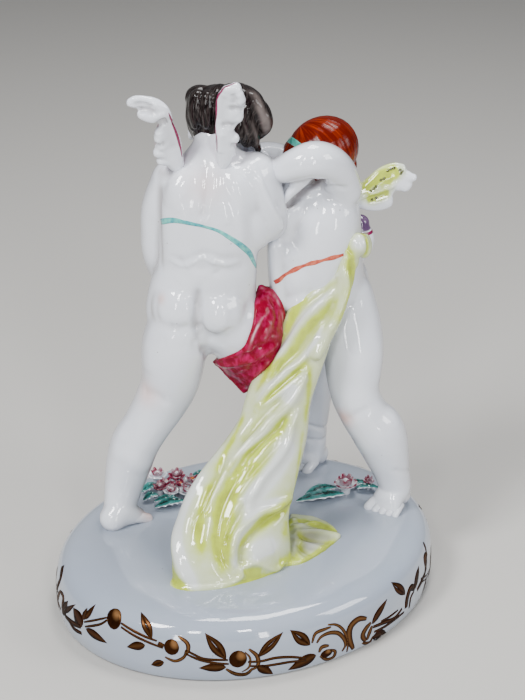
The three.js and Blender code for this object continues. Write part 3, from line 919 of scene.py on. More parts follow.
# A calm child's face in shares of half the head's height: place and radii of each lump.
CHILD_FACE = [
    ((0, -0.1, 0.16), (0.76, 0.86, 0.8)),  # skull
    ((0, 0.12, -0.3), (0.64, 0.64, 0.64)),  # jaw
    ((0, 0.7, -0.06), (0.09, 0.12, 0.2)),  # bridge of the nose
    ((0, 0.8, -0.2), (0.12, 0.13, 0.1)),  # tip of the nose
    ((0, 0.73, -0.43), (0.17, 0.07, 0.05)),  # upper lip
    ((0, 0.7, -0.54), (0.13, 0.07, 0.05)),  # lower lip
    ((0, 0.58, -0.76), (0.19, 0.17, 0.15)),  # chin
    ((0.36, 0.42, -0.36), (0.29, 0.28, 0.26)),  # cheeks
    ((0.27, 0.6, -0.01), (0.13, 0.1, 0.09)),  # eyeballs
    ((0.27, 0.64, 0.15), (0.2, 0.08, 0.05)),  # brows
    ((0.77, -0.08, -0.14), (0.1, 0.17, 0.22)),  # ears
]


def fine_places(head, hands, feet):
    """Face, hands and toes: where the modelling must stay crisp, each with its reach."""
    spared = [(head.place((0, 0.6, -0.2)), 9.5)]
    spared += [(palm, 7) for wrist, palm, tips, spread in hands]
    spared += [(foot.instep, 6) for foot in feet]
    return spared


def model_body(name, clay, head, hands, feet, forms):
    """Presses a naked body together, softens it, carves its forms and sets its toes. It returns the skin
    and the tree on which the photograph's pixels were placed."""
    clay = [*clay, *head.lumps(CHILD_FACE), *(foot.flesh() for foot in feet)]
    for shape in hands:
        clay += hand(*shape)
    skin = press_together(name, clay, settings().skin_voxel, softness=3)
    soften(skin, 26, fine_places(head, hands, feet))
    tree = skin_tree(skin)
    carve_forms(skin, tree, forms)
    skin = join_pieces(name, [skin, *feet[0].toes(), *feet[1].toes()])
    shade_smooth(skin)
    for side in (-1, 1):
        dab(skin, "blush", head.place((0.4 * side, 0.66, -0.34)), 3.0, 0.55)
    # Hollows, which the glaze material paints darker: pooled glaze and painted shade.
    mark_hollows(skin)
    return skin, tree


def flesh_one():
    """The dark-haired cupid's naked body, seen from the back."""
    clay = [
        limb("trunk", TRUNK_ONE, sides=40),
        *(limb("limb", stations) for stations in (LEFT_LEG_ONE, RIGHT_LEG_ONE, LEFT_ARM_ONE, RIGHT_ARM_ONE)),
        lump("flank", (1.6, 3.6, 132), (6.6, 7.6, 12), turn=(0, -14, 0)),
        photo_limb("arm", UPPER_ARM_PIXELS),
        lump("buttock", (-20.4, 1.3, 102), (9.8, 9.6, 11)),
        lump("buttock", (-8, 0.4, 101.4), (8.6, 10.2, 9.4)),
        lump("hip", (-22.6, 5, 98), (9, 8.4, 12)),
        lump("thigh_root", (-6, 3.4, 94), (10, 9, 9)),
        lump("shoulder_blade", (-18.6, -0.2, 140), (7, 5.6, 9.6), turn=(0, 12, 0)),
        lump("shoulder_blade", (-2.6, -0.2, 140.6), (7.6, 5.6, 9.6), turn=(0, -14, 0)),
        lump("neck_root", (-3.2, 5.4, 147.4), (8, 6, 5.4), turn=(0, 24, 0)),
        lump("neck_root", (-15.6, 5.6, 146.6), (7.4, 5.8, 5), turn=(0, -28, 0)),
        lump("belly", (-12.5, 9, 112), (13, 8.8, 12)),
        lump("calf", (-37.4, 3.8, 48.6), (7.2, 7.4, 10)),
    ]
    skin, tree = model_body("dark_haired_cupid", clay, head_one(), HANDS_ONE, FEET_ONE, BACK_FORMS)
    for pixel, size, amount in BACK_BLUSHES:
        dab(skin, "blush", seen(tree, [pixel])[0], size, amount)
    # Painted shade beside the arm.
    tint_forms(skin, "hollow", tree, ARM_PAINTED_SHADE)
    return skin


# Softer flesh, whose stations are pixels of the photograph.
UPPER_ARM_PIXELS = [
    (252, 166, 4.4, 12, 8), (259, 182, 3.4, 14, 7.6), (266, 198, 3, 15, 6.8), (271.6, 212, 3.4, 13, 6),
    (274, 223, 4.4, 11, 5), (269, 232, 6, 9, 4),
]
FLANK_PIXELS = [
    (275, 244, 9.4, 8, 4.4), (275.6, 262, 9.6, 8.6, 5), (277.4, 281, 10, 9, 5), (280, 300, 10.6, 9, 5),
]
FOREARM_PIXELS = [
    (283, 204, 5.6, 2.6, 1.8), (288, 195, 5, 5, 2.6), (296, 186, 5, 6.5, 3), (306, 178, 6, 6, 3),
]

# Blushes of the first cupid, each a pixel, its reach in mm and its strength, and the painted shade beside its
# arm.
BACK_BLUSHES = [((146, 393), 4.5, 0.35), ((161, 299), 1.8, 0.35), ((149, 513), 3, 0.45), ((206, 185), 6, 0.2)]
ARM_PAINTED_SHADE = [
    ([(160, 180), (159, 205), (160, 235), (161, 262)], 1.4, 0.35),
    ([(158, 170), (166, 174), (174, 172)], 1.6, 0.4),
]

# The back of the first cupid as the photograph shows it: pixels, with each form's width and height in mm.
BACK_FORMS = [
    ([(206, 158), (204, 180), (203, 200), (202, 222)], 2.4, -1.0),
    ([(202, 222), (201, 250), (200, 276)], 3.2, -0.7), ([(196, 166), (197, 190), (195, 214)], 1.6, 0.4),
    ([(214, 168), (213, 190), (210, 214)], 1.6, 0.4),
    ([(199, 288), (197, 304), (196, 320), (198, 332)], 1.6, -1.3),
    ([(198, 332), (202, 346), (206, 358)], 1.1, -0.7), ([(168, 326), (178, 328), (190, 326)], 1.6, -0.5),
    ([(202, 328), (208, 333), (217, 335.4), (226, 333), (233, 327)], 1.7, -0.6),
    ([(158, 266), (176, 268), (186, 265)], 2.6, -0.5), ([(212, 266), (228, 268), (246, 264)], 2.6, -0.5),
    ([(215, 272), (217, 275)], 1.3, -0.4), ([(183, 276), (186, 277)], 1.5, -0.25),
    ([(256, 170), (262.7, 188), (270.5, 205), (280.4, 224), (281, 230)], 1.1, 0.8),
    ([(232, 176), (238, 196), (241, 220), (242, 250)], 2.2, 0.5),
    ([(172, 261), (183, 266), (194, 262), (203, 258.6), (214, 263), (226, 265), (238, 263)], 1.0, 0.6),
    ([(170, 257), (186, 261), (204, 254), (222, 258), (240, 258)], 1.3, -0.35),
    ([(182, 190), (184, 208), (184, 226)], 1.6, 0.35), ([(199, 200), (202, 214), (203, 228)], 0.9, 0.35),
    ([(210, 198), (207.6, 212), (205.6, 226)], 0.9, 0.35), ([(222, 202), (225, 214), (228, 226)], 1.6, 0.3),
    ([(206, 352), (196, 348), (196, 338)], 1.4, -0.5), ([(158, 296), (156, 312), (160, 322)], 1.6, -0.3),
    ([(228, 296), (233, 312), (230, 326)], 1.8, -0.3), ([(164, 340), (176, 338), (186, 340)], 2.0, 0.35),
    ([(160, 182), (159, 205), (160, 230), (160, 262)], 1.3, -0.6),
    ([(172, 182), (176, 200), (180, 214)], 2.4, 0.5), ([(143, 392), (156, 396), (170, 404)], 2, -0.5),
    ([(150, 330), (148, 352), (148, 374)], 4, 0.3), ([(128, 420), (120, 440), (116, 462)], 3, 0.3),
]


def flesh_two():
    """The red-haired cupid's naked body, chest to the viewer's left."""
    clay = [
        limb("trunk", TRUNK_TWO, sides=40, wide=(0.66, -0.75, 0)),
        *(limb("leg", stations) for stations in (LEFT_LEG_TWO, RIGHT_LEG_TWO)),
        *(limb("arm", stations, wide=(0, 1, 0)) for stations in (LEFT_ARM_TWO, RIGHT_ARM_TWO)),
        lump("flank", (30.4, 14.6, 129), (5.8, 5.8, 10)),
        lump("buttock", (32, 26.6, 99.6), (9, 10.4, 10.2)),
        lump("buttock", (26, 32.4, 98.6), (9, 9.4, 10)),
        lump("pelvis", (25.6, 25, 96), (12, 11, 10)),
        lump("belly", (16.6, 14.6, 109), (9.4, 9.4, 12)),
        lump("groin", (18.4, 13.4, 99.6), (8.6, 8, 8)),
        lump("chest", (16.4, 15.6, 129), (8.4, 8.6, 6.6)),
        lump("rib", (13.6, 12.6, 124.4), (5.4, 6, 8)),
        lump("waist", (15.4, 14.4, 116), (8.8, 9, 9.4)),
        lump("flank", (12.2, 10.2, 129), (5, 5.4, 6.4), turn=(0, 26, 0)),
        lump("throat", (19, 14.6, 138), (7.4, 5.4, 4), turn=(0, -16, 0)),
        photo_limb("flank", FLANK_PIXELS),
        photo_limb("forearm", FOREARM_PIXELS),
    ]
    skin, tree = model_body("red_haired_cupid", clay, head_two(), HANDS_TWO, FEET_TWO, SIDE_FORMS)
    dab(skin, "blush", seen(tree, [(344, 418)])[0], 3.2, 0.5)
    # Painted shade deepens the hollow under the forearm.
    tint(skin, "hollow", seen(tree, ARM_PIT), 1.7, 1.0)
    return skin


# The deep hollow under the second cupid's forearm, and the forms of that side, in the same way.
ARM_PIT = [(286, 208), (292, 202), (300, 193.6), (308, 186.6), (316, 181), (324, 181)]
SIDE_FORMS = [
    (ARM_PIT, 1.3, -2.4), ([(322, 183), (334, 187), (347, 188)], 1.0, -0.8),
    ([(290, 210), (303, 199), (316, 192), (330, 191)], 1.4, 0.5),
    ([(347, 420), (358, 414), (370, 408)], 1.6, -0.5), ([(306, 424), (318, 428), (330, 426)], 1.0, -0.6),
    ([(305, 438), (317, 441), (328, 438)], 1.0, -0.5), ([(358, 300), (345, 312), (338, 326)], 1.6, -0.4),
    ([(378, 340), (380, 362), (378, 384)], 3, 0.3), ([(392, 470), (404, 472), (412, 470)], 1.2, -0.3),
]


# Lines painted on a face, in shares of half the head's height, each with its width in mm. A line whose
# places all lie beside the middle has its like on the other side.
FACE_LINES = {
    "brows": [
        ([(0.14, 0.8, 0.16), (0.28, 0.78, 0.22), (0.42, 0.68, 0.16)], 0.5),
        ([(0.14, 0.8, 0.0), (0.26, 0.78, 0.07), (0.39, 0.68, 0.0)], 0.4),
    ],
    "irises": [([(0.22, 0.78, 0.01), (0.27, 0.78, 0.01), (0.32, 0.76, 0.01)], 1.2)],
    "lips": [
        ([(-0.16, 0.84, -0.46), (0, 0.86, -0.43), (0.16, 0.84, -0.46)], 0.7),
        ([(-0.12, 0.84, -0.5), (0, 0.84, -0.54), (0.12, 0.84, -0.5)], 0.8),
    ],
}


def face_paint(skin, head, owner, part, profile, across, spacing):
    """One part of a face, such as its brows, painted on."""
    brush = Brush(skin)
    for path, width in FACE_LINES[part]:
        for side in ((-1, 1) if path[0][0] > 0 else (1,)):
            line = [head.place((x * side, y, z)) for x, y, z in path]
            brush.stroke(line, width, profile, across, spacing)
    return brush.finish(f"{owner}_{part}")


# Hair, wings and quiver

# Locks of the dark hair, whose stations are pixels of the photograph.
DARK_LOCKS = [
    [(240, 92, 12, 9, 5), (252, 100, 11, 10, 4.6), (262, 114, 11, 9.5, 4), (266, 127, 11, 6.5, 3),
     (262, 136, 11, 3, 1.8)],
    [(246, 108, 10, 9, 4), (250, 124, 9.4, 8.5, 3.8), (254, 139, 9.6, 6.4, 3.4), (258, 149, 10, 3, 2)],
    [(234, 116, 9, 8, 4), (240, 130, 8, 7.5, 3.6), (247, 142, 8.6, 5, 2.6)],
    [(207, 98, 7, 8, 3.6), (206, 112, 5.4, 7.5, 3.4), (206, 124, 5.6, 4.5, 2.4)],
    [(197, 97, 8, 8, 3.8), (195, 112, 6.8, 7, 3.6), (196, 125, 7, 4, 2.4)],
    [(192, 100, 11, 6, 4), (190, 116, 10, 5, 3.8), (193, 127, 10, 3.2, 2.6)],
    [(220, 98, 6.6, 8, 3.6), (220, 112, 5.6, 7.5, 3.4), (219, 125, 6, 4.6, 2.6)],
]


def hair_one():
    """Short dark curls, with a lighter lock that falls to the right."""
    head = head_one()
    clay = [
        head.lump((0.02, -0.16, 0.24), (0.82, 0.9, 0.84)),
        *(photo_limb("lock", stations) for stations in DARK_LOCKS),
        lump("fringe", (-14, 17, 166.2), (5, 6, 3.6)),
        lump("fringe", (-3, 17, 166.8), (6, 6, 3.6)),
        head.lump((-0.4, 0.42, 0.72), (0.36, 0.32, 0.24)),
        head.lump((0.3, 0.46, 0.76), (0.36, 0.3, 0.22)),
        *head.lumps([((0.68, 0.1, 0.24), (0.2, 0.34, 0.36))]),
    ]
    hair = press_together("dark_hair", clay, FINE_GRAIN, softness=5)
    comb_hair(hair, head, strands=11, depth=0.17, swirl=0.9)
    tint_forms(hair, "bare", skin_tree(hair), LIGHT_STRANDS)
    return hair


# Lighter strokes in the dark hair, in pixels, each with its width in mm and its strength.
LIGHT_STRANDS = [
    ([(252, 92), (262, 108), (268, 122), (268, 132)], 1.2, 0.85),
    ([(256, 104), (262, 118), (264, 132)], 0.8, 0.6), ([(252, 122), (256, 134), (258, 146)], 0.7, 0.4),
    ([(244, 124), (248, 136)], 0.6, 0.3),
]


def comb_hair(hair, head, strands, depth, swirl):
    """Combs waves into hair from the crown down, and stores the way that its strands run."""
    places, normals = skin_arrays(hair)
    inverse = np.array(head.axes.inverted())
    local = (places - np.array(head.centre)) @ inverse.T / head.half
    angle = np.arctan2(local[:, 0], -local[:, 1])
    fall = np.clip(1.15 - local[:, 2], 0, 2.4)
    girth = np.clip(np.hypot(local[:, 0], local[:, 1]) * 1.4, 0, 1)
    broad = np.sin(strands * angle + swirl * 5 * fall)
    fine = 0.35 * np.sin(2.6 * strands * angle + swirl * 8 * fall)
    move_points(hair, places + normals * (depth * (broad + fine) * girth)[:, None])
    run = np.stack([np.sin(angle) * 12 + swirl * fall, np.cos(angle) * 12, fall * 1.6], 1)
    combed = hair.data.attributes.new("combed", "FLOAT_VECTOR", "POINT")
    combed.data.foreach_set("vector", run.ravel())


def hair_two():
    """Smooth red hair held by a headband."""
    head = head_two()
    clay = [
        head.lump((0, -0.16, 0.24), (0.92, 0.98, 0.86)),
        head.lump((0, 0.34, 0.5), (0.74, 0.52, 0.44)),
        lump("nape", (31.4, 22.6, 142), (4.4, 6, 4.6)),
    ]
    hair = press_together("red_hair", clay, FINE_GRAIN, softness=8)
    comb_hair(hair, head, strands=15, depth=0.07, swirl=0.8)
    return hair


def forelock():
    """The brown lock on the red-haired cupid's brow."""
    head = head_two()
    tufts = ((-0.2, 0.88, 0.3), (0.06, 0.92, 0.34), (0.3, 0.84, 0.3))
    clay = [head.lump(at, (0.24, 0.2, 0.2)) for at in tufts]
    lock = press_together("forelock", clay, 0.35 * MM, softness=4)
    comb_hair(lock, head, strands=18, depth=0.12, swirl=1.2)
    return lock


HEADBAND_PIXELS = [(283, 136), (287, 138), (292, 141), (297, 144.6), (303, 149), (310, 154), (317, 160)]


def headband(hair):
    """A turquoise band painted round the hair, high on the brow. The hair of the nape covers its ends."""
    head = head_two()
    brush = Brush(hair)
    brow = [head.place(at) for at in ((0.9, -0.5, -0.1), (0.95, 0, 0.15), (0.7, 0.6, 0.4), (0.3, 0.9, 0.5))]
    brush.stroke(nearest(brush.tree, brow) + seen(brush.tree, HEADBAND_PIXELS), width=2.2, across=6)
    return brush.finish("headband")


# Wings: each feather as pixels of the photograph, with x, y and half width in pixels, from root to tip.
LEFT_WING_ONE = [
    [(180, 170, 5), (175, 162, 9.5), (169, 149, 13.5), (167, 137, 13), (164.5, 124.5, 9), (160, 114, 9)],
    [(165, 121, 9), (160, 112, 10), (151, 106.5, 10), (141, 103.5, 7.5), (133, 102.5, 5.6),
     (130.8, 102.8, 4.6)],
    [(160, 116, 8), (151, 115.4, 8), (144, 114.6, 6.4), (142.4, 114.4, 5.6)],
    [(166, 137, 9), (159.6, 138, 7.6)], [(167, 152, 8), (158.8, 152.4, 6)],
    [(168, 160, 6.5), (161, 160.5, 4.8)],
]
RIGHT_WING_ONE = [
    [(223, 164, 6), (224.4, 156, 9), (226, 146, 10.6), (226, 137, 10.6), (224.6, 128, 9.6),
     (228.6, 116, 13.6), (230.4, 105, 15), (231, 97, 14), (232, 92, 10.5)],
    [(230, 96, 11), (234, 90, 8), (236, 87, 5.4)], [(233, 99, 11), (237.6, 98, 9.6)],
    [(232, 115, 9), (238, 116.4, 7)], [(229, 138, 8), (233.3, 138.4, 6.4)],
    [(228, 152, 7), (231.4, 153, 4.6)],
]
NEAR_WING_TWO = [
    [(350, 199, 8), (362, 192.5, 9), (374, 184.5, 10.5), (384, 177.6, 11.8), (394, 174, 12.2),
     (401.5, 173.6, 10.6)],
    [(400, 176, 9), (408.6, 177.2, 6.4), (413.2, 177.4, 4)],
    [(396, 180, 9), (404.6, 184.6, 8), (406.6, 186, 7)],
    [(362, 200, 9), (372, 201, 10.6), (381, 200, 11), (388, 199, 9.4)],
    [(366, 195, 9), (382, 189, 10), (398, 183, 8.4)],
]
FAR_WING_TWO = [
    [(334, 176, 8), (340, 166, 10), (346, 156, 11), (350, 148, 8)], [(342, 158, 8), (352, 156, 6)],
    [(344, 164, 7), (352, 166, 5)],
]


def wing(name, feathers, root, tip):
    """A small thick wing pressed together from feathers. It leans from depth `root` to depth `tip`, in mm."""
    lowest = feathers[0][0]
    highest = feathers[0][-1]
    span = math.dist(lowest[:2], highest[:2])
    clay = []
    for order, feather in enumerate(feathers):
        stations = []
        for x, y, half in feather:
            along = min(math.dist((x, y), lowest[:2]) / span, 1)
            thickness = 2.5 - 0.7 * along - (0.3 if order else 0)
            stations.append((x, y, root + (tip - root) * along, half, min(thickness, half / 2.6)))
        clay.append(photo_limb("feather", stations, sides=28, caps=6))
    blade = press_together(name, clay, 0.32 * MM, softness=6)
    facing_away = skin_arrays(blade)[1][:, 1]
    set_share(blade, "paint", np.clip(facing_away * 3, 0, 0.9))
    tree = skin_tree(blade)
    for feather in feathers:
        far_side = nearest(tree, [on_plane((x, y), 1, max(root, tip) + 6) for x, y, half in feather])
        carve(blade, far_side, 1.3, 0.5)
        tint(blade, "paint", far_side, 1.1, -0.4)
    return blade


# Grooves and rims of the wings in pixels, each with its width and height in mm.
LEFT_WING_FORMS = [
    ([(137, 109.4), (146, 110.4), (156, 113.4)], 0.9, -0.7),
    ([(155, 125.6), (161, 124), (167, 122)], 1.1, -0.7), ([(152.6, 145), (158, 145), (165, 143)], 0.9, -0.5),
    ([(130, 99.6), (140, 98.4), (151, 102), (160, 108)], 1.1, 0.5),
    ([(158, 132), (160, 140), (163, 152)], 1.4, 0.35), ([(164, 118), (170, 134), (175, 152)], 2.2, -0.5),
    ([(134, 104.6), (144, 104.6), (153, 108)], 1.0, -0.45),
]
RIGHT_WING_FORMS = [
    ([(245, 110.6), (238, 109.4), (229, 110)], 1.0, -0.7),
    ([(236, 126.4), (228, 126), (221, 127)], 1.2, -0.7),
    ([(222, 91), (229, 88), (238, 90.6), (242, 98), (241, 104)], 1.2, 0.5),
    ([(232, 94), (235, 99), (234, 105)], 1.2, -0.4), ([(238, 145.4), (231, 145)], 0.9, -0.5),
    ([(221, 132), (220, 142), (220, 154)], 1.4, 0.4), ([(224, 96), (222, 110), (221, 124)], 1.8, -0.4),
    ([(238, 93), (240, 99), (239, 105)], 1.0, 0.4),
]
UPPER_VANE = [(360, 191), (370, 184), (380, 176.6), (390, 170.6), (399, 169)]
LOWER_VANE = [(366, 199), (374, 198), (382, 195), (390, 190)]
YELLOW_WING_FORMS = [
    (UPPER_VANE, 2.4, -0.35), (LOWER_VANE, 1.3, -0.5), ([(394, 190), (398, 196), (396, 200)], 0.9, -0.6),
    ([(358, 199), (368, 195), (378, 191.6), (388, 188.6), (396, 184)], 0.8, 0.7),
]
YELLOW_WING_WASHES = [
    (UPPER_VANE, 3.0, 1.0), ([(384, 183), (392, 178), (400, 172)], 1.8, 0.7), (LOWER_VANE, 1.8, 1.1),
]
LEFT_EDGE_PIXELS = [(168.6, 113), (172, 122), (175.6, 131), (178.6, 140), (180.8, 149), (182, 157)]
RIGHT_EDGE_PIXELS = [
    (217.4, 152), (216.6, 138), (215.4, 124), (215.2, 110), (216.8, 99), (222, 90.4), (229.4, 85.4),
    (236, 83),
]


# Dark dots on the yellow of the near wing, in pixels.
WING_SPOTS = [
    (388, 170.6), (391, 169), (394, 168), (400, 170), (402, 171.6), (401, 173.4), (381, 180), (384, 178.6),
    (374, 188.6), (376, 186.6), (371, 191), (372, 199.6), (376, 198),
]


def rose_wing(name, feathers, root, tip, forms):
    """A wing of the first cupid, grooved between its feathers, with painted grey shade in the grooves."""
    blade = wing(name, feathers, root, tip)
    tree = skin_tree(blade)
    carve_forms(blade, tree, forms, gain=1.5)
    mark_hollows(blade)
    # Painted shade in the grooves, stronger where a groove is deeper.
    grooves = [(pixels, width * 1.3, -0.5 * height) for pixels, width, height in forms if height < 0]
    tint_forms(blade, "hollow", tree, grooves)
    return blade


def yellow_wing():
    """The near wing of the second cupid, yellow above its quill and along its lower edge."""
    blade = wing("near_wing_of_second", NEAR_WING_TWO, 18, 21)
    tree = skin_tree(blade)
    carve_forms(blade, tree, YELLOW_WING_FORMS)
    tint_forms(blade, "paint", tree, YELLOW_WING_WASHES)
    # Hollows, which the material paints darker as shade.
    mark_hollows(blade)
    return blade


def rose_edge(blade, name, pixels):
    """The thin magenta edge that a wing of the first cupid shows from behind."""
    brush = Brush(blade)
    brush.draw(pixels, width=0.95, profile=lambda t: 0.3 + 0.7 * pointed(t), across=5, spacing=0.4)
    return brush.finish(name)


def wing_spots(blade):
    """Dark dots on the second cupid's wing."""
    brush = Brush(blade)
    for x, y in WING_SPOTS:
        brush.draw([(x - 1.6, y + 1.2), (x, y), (x + 1.6, y - 1.2)], 0.95, pointed, 2, 0.2)
    return brush.finish("wing_spots")


# The quiver from the top of its lid to the foot of its case, in mm.
QUIVER = [
    (37.4, 24, 121.4, 2.9), (37.4, 24, 119.2, 3.5), (38.1, 24.4, 115.6, 4), (37, 26, 111, 3.6),
    (32, 33, 101, 2.5),
]


def quiver():
    """A small quiver behind the hip: a white case and a lilac domed lid."""
    case = limb(
        "quiver", QUIVER, sides=28, steps=8, caps=7, paint=lambda angle, t: min(max(14 * (0.24 - t), 0), 1)
    )
    shade_smooth(case)
    return case


def quiver_rim(case):
    """The dark magenta line under the quiver's lid."""
    brush = Brush(case)
    ring = []
    for step in range(17):
        angle = 2 * math.pi * step / 16
        ring.append((37.4 + 3.5 * math.cos(angle), 24 + 3.5 * math.sin(angle), 118.7))
    brush.stroke(nearest(brush.tree, ring), width=1.1, across=3)
    return brush.finish("quiver_rim")


# The two cloths

THIGH_CLOTH = [
    (6.6, 8, 102, 3.6, 4.4), (4.6, 7.2, 98.8, 7.4, 8.4), (1.8, 7.4, 94, 11.2, 11.2), (0.8, 9, 88.6, 13, 11.8),
    (4, 12.4, 80.6, 11.2, 11.2), (8, 15.4, 73.4, 9, 10), (9.4, 16.6, 70, 6, 7.4),
]
FALLING_CLOTH = [
    (33, 9, 116.4, 2.8, 2.2), (31, 7.6, 109, 4.2, 2.8), (27.4, 6.6, 103, 5.6, 3), (21.9, 5.4, 96.8, 8.4, 3.6),
    (17.2, 3, 85, 9, 4.8), (11, -2, 71.4, 10.4, 5.8), (8.5, -7, 61.2, 11.6, 6.4), (4, -13, 52, 13.6, 7),
    (-1.4, -20, 41.6, 16.4, 7.6), (-3.8, -25, 32, 19, 8.6), (-4.6, -27.6, 24, 20, 9.6),
    (-4.6, -28, 18, 19.4, 9.2),
]

# Ridges of the long cloth as the photograph shows them, in pixels, each with its width and height in mm.
LONG_RIDGES = [
    ([(340, 272), (331, 280), (322, 288), (309, 297)], 1.2, 0.7),
    ([(342, 268), (347, 280), (347, 292), (342, 304), (338, 316), (332, 326), (322, 338)], 1.4, 1.1),
    ([(332, 292), (325, 300), (316, 308), (305, 320), (297, 330), (290, 342), (284, 350), (278, 358),
     (271, 372), (264, 388)], 1.4, 1.3),
    ([(322, 328), (317, 338), (310, 350), (304, 358), (298, 364), (288, 370), (278, 380), (268, 390),
     (262, 400), (257, 410)], 1.2, 1.2),
    ([(288, 362), (281, 368), (274, 374)], 0.7, 0.5), ([(263, 387), (257, 395)], 0.8, 0.5),
    ([(301, 376), (283, 391), (268, 402), (257, 408)], 1.0, 0.8),
    ([(306, 371), (303, 378), (298, 390), (292, 400), (285, 408), (270, 422), (262, 432), (248, 444),
     (232, 462)], 1.6, 1.7),
    ([(296, 412), (291, 425), (288, 440), (282, 452), (275, 462), (262, 478), (255, 490), (248, 500),
     (245, 510)], 1.7, 1.6),
    ([(282, 428), (270, 440), (256, 452), (246, 464), (235, 478), (226, 494)], 0.8, 0.7),
    ([(222, 448), (200, 480), (185, 505), (178, 525), (175, 545), (178, 560), (183, 575),
     (192, 587)], 2.2, 1.3),
    ([(232, 462), (222, 480), (212, 498), (206, 510), (202, 520)], 1.1, 1.0),
    ([(290, 498), (275, 508), (262, 512), (250, 520), (240, 530), (234, 542), (232, 552),
     (234, 564)], 1.4, 1.9),
    ([(293, 500), (294, 520), (296, 540), (294, 556)], 1.3, 0.8),
    ([(252, 560), (262, 553), (274, 547)], 2.6, 0.5),
    ([(192, 588), (210, 587), (228, 584), (241, 577), (241, 570), (247, 566), (256, 563), (275, 570),
     (283, 563), (290, 558)], 1.0, 0.9),
    ([(292, 528), (304, 524), (318, 522)], 1.0, 0.7), ([(293, 532), (316, 531), (340, 536)], 1.1, 0.7),
    ([(293, 540), (310, 545), (325, 550)], 1.0, 0.6), ([(292, 548), (299, 556), (305, 560)], 0.9, 0.5),
]
LONG_VALLEYS = [
    ([(334, 282), (318, 296), (300, 312), (288, 332), (276, 352), (266, 376)], 1.8, -0.7),
    ([(336, 300), (326, 316), (312, 332), (298, 350), (284, 364), (270, 380)], 1.4, -1.1),
    ([(302, 368), (288, 380), (272, 394), (260, 406)], 1.0, -0.7),
    ([(286, 396), (268, 412), (252, 430), (240, 446)], 1.5, -1.0),
    ([(290, 412), (278, 428), (260, 444), (246, 458), (236, 472)], 1.5, -1.2),
    ([(280, 444), (264, 462), (246, 484), (236, 500)], 1.4, -0.9),
    ([(224, 460), (216, 478), (208, 498), (203, 510), (195, 520), (192, 540)], 1.4, -1.1),
    ([(245, 470), (232, 490), (222, 515), (218, 540), (222, 560), (230, 575)], 2.2, -1.2),
    ([(247, 498), (240, 515), (232, 530), (226, 545)], 1.2, -1.3),
    ([(290, 505), (270, 520), (255, 533), (245, 545), (242, 558), (243, 568)], 1.5, -1.4),
    ([(297, 522), (320, 527), (341, 534)], 0.9, -0.5), ([(298, 536), (310, 540), (330, 543)], 0.9, -0.5),
    ([(296, 545), (306, 552), (313, 556)], 0.8, -0.5),
]


# Where the enamel was brushed on the long cloth, in pixels, with the width in mm and the amount: yellow-green
# above zero, and wiped back to the white glaze below it.
LONG_WASHES = [
    ([(350, 262), (351, 284), (345, 308), (337, 324)], 2.0, 0.75),
    ([(312, 288), (300, 300), (291, 314), (285, 336)], 2.0, 0.45),
    ([(335, 296), (324, 312), (310, 324), (300, 336), (289, 354), (272, 371), (258, 388)], 1.8, 0.55),
    ([(309, 354), (297, 369), (284, 383), (272, 393), (256, 410)], 1.4, 0.6),
    ([(308, 366), (309, 384), (308, 402), (305, 424)], 1.2, 0.5),
    ([(244, 414), (238, 428), (228, 448), (217, 469)], 1.0, 0.5),
    ([(286, 422), (275, 434), (261, 446), (246, 456), (234, 467), (227, 480)], 1.6, 0.75),
    ([(262, 462), (245, 472), (232, 488), (224, 510), (221, 540), (222, 566)], 3.4, 0.5),
    ([(208, 490), (203, 510), (200, 530), (201, 556)], 2.0, 0.5),
    ([(291, 494), (281, 506), (270, 514), (258, 524)], 2.2, 0.7),
    ([(290, 508), (289, 522), (286, 536)], 2.2, 0.55),
    ([(169, 545), (170, 565), (180, 583), (190, 595)], 2.0, 0.8),
    ([(243, 575), (252, 572), (262, 572)], 2.2, 0.7), ([(278, 563), (286, 560), (292, 556)], 2.0, 0.7),
    ([(351, 258), (351, 270), (349, 288)], 1.2, 0.6), ([(338, 268), (326, 278), (314, 288)], 1.6, 0.4),
    ([(296, 520), (318, 525), (336, 534)], 1.4, 0.5),
    ([(334, 540), (324, 550), (312, 558), (300, 564)], 1.4, 0.7),
    ([(298, 530), (300, 546), (298, 560)], 1.6, 0.35),
    ([(214, 480), (206, 498), (201, 516), (197, 536)], 1.0, 0.6),
    ([(229, 495), (223, 534), (226, 563)], 2.4, 0.45),
    ([(289, 506), (276, 514), (263, 522), (249, 535), (240, 549)], 1.5, 0.6),
    ([(287, 520), (284, 536)], 1.6, 0.3), ([(303, 430), (300, 452), (295, 486)], 0.9, 0.4),
    ([(171, 546), (174, 575), (188, 592), (215, 592), (243, 583), (269, 577), (292, 566)], 1.3, 0.7),
    ([(298, 520), (318, 523), (338, 531)], 1.2, 0.35), ([(309, 558), (322, 551), (334, 544)], 1.0, 0.4),
    ([(300, 536), (312, 541)], 1.0, 0.3),
    ([(328, 292), (314, 306), (298, 322), (288, 340), (278, 356)], 1.5, -0.7),
    ([(321, 330), (316, 342), (301, 360), (286, 372), (270, 386), (260, 400)], 1.0, -0.7),
    ([(290, 384), (290, 394), (284, 402)], 2.2, -0.7),
    ([(272, 426), (258, 438), (246, 449), (236, 464), (226, 478)], 1.2, -0.6),
    ([(290, 440), (283, 456), (270, 476), (256, 492), (246, 508)], 3.0, -0.8),
    ([(203, 478), (186, 506), (178, 534), (183, 563), (196, 588)], 1.7, -0.8),
    ([(289, 498), (272, 503), (260, 509), (244, 526), (233, 549), (236, 565)], 1.3, -0.7),
    ([(252, 552), (262, 546), (276, 544)], 2.6, -0.5), ([(322, 540), (306, 549)], 2.0, -0.2),
]


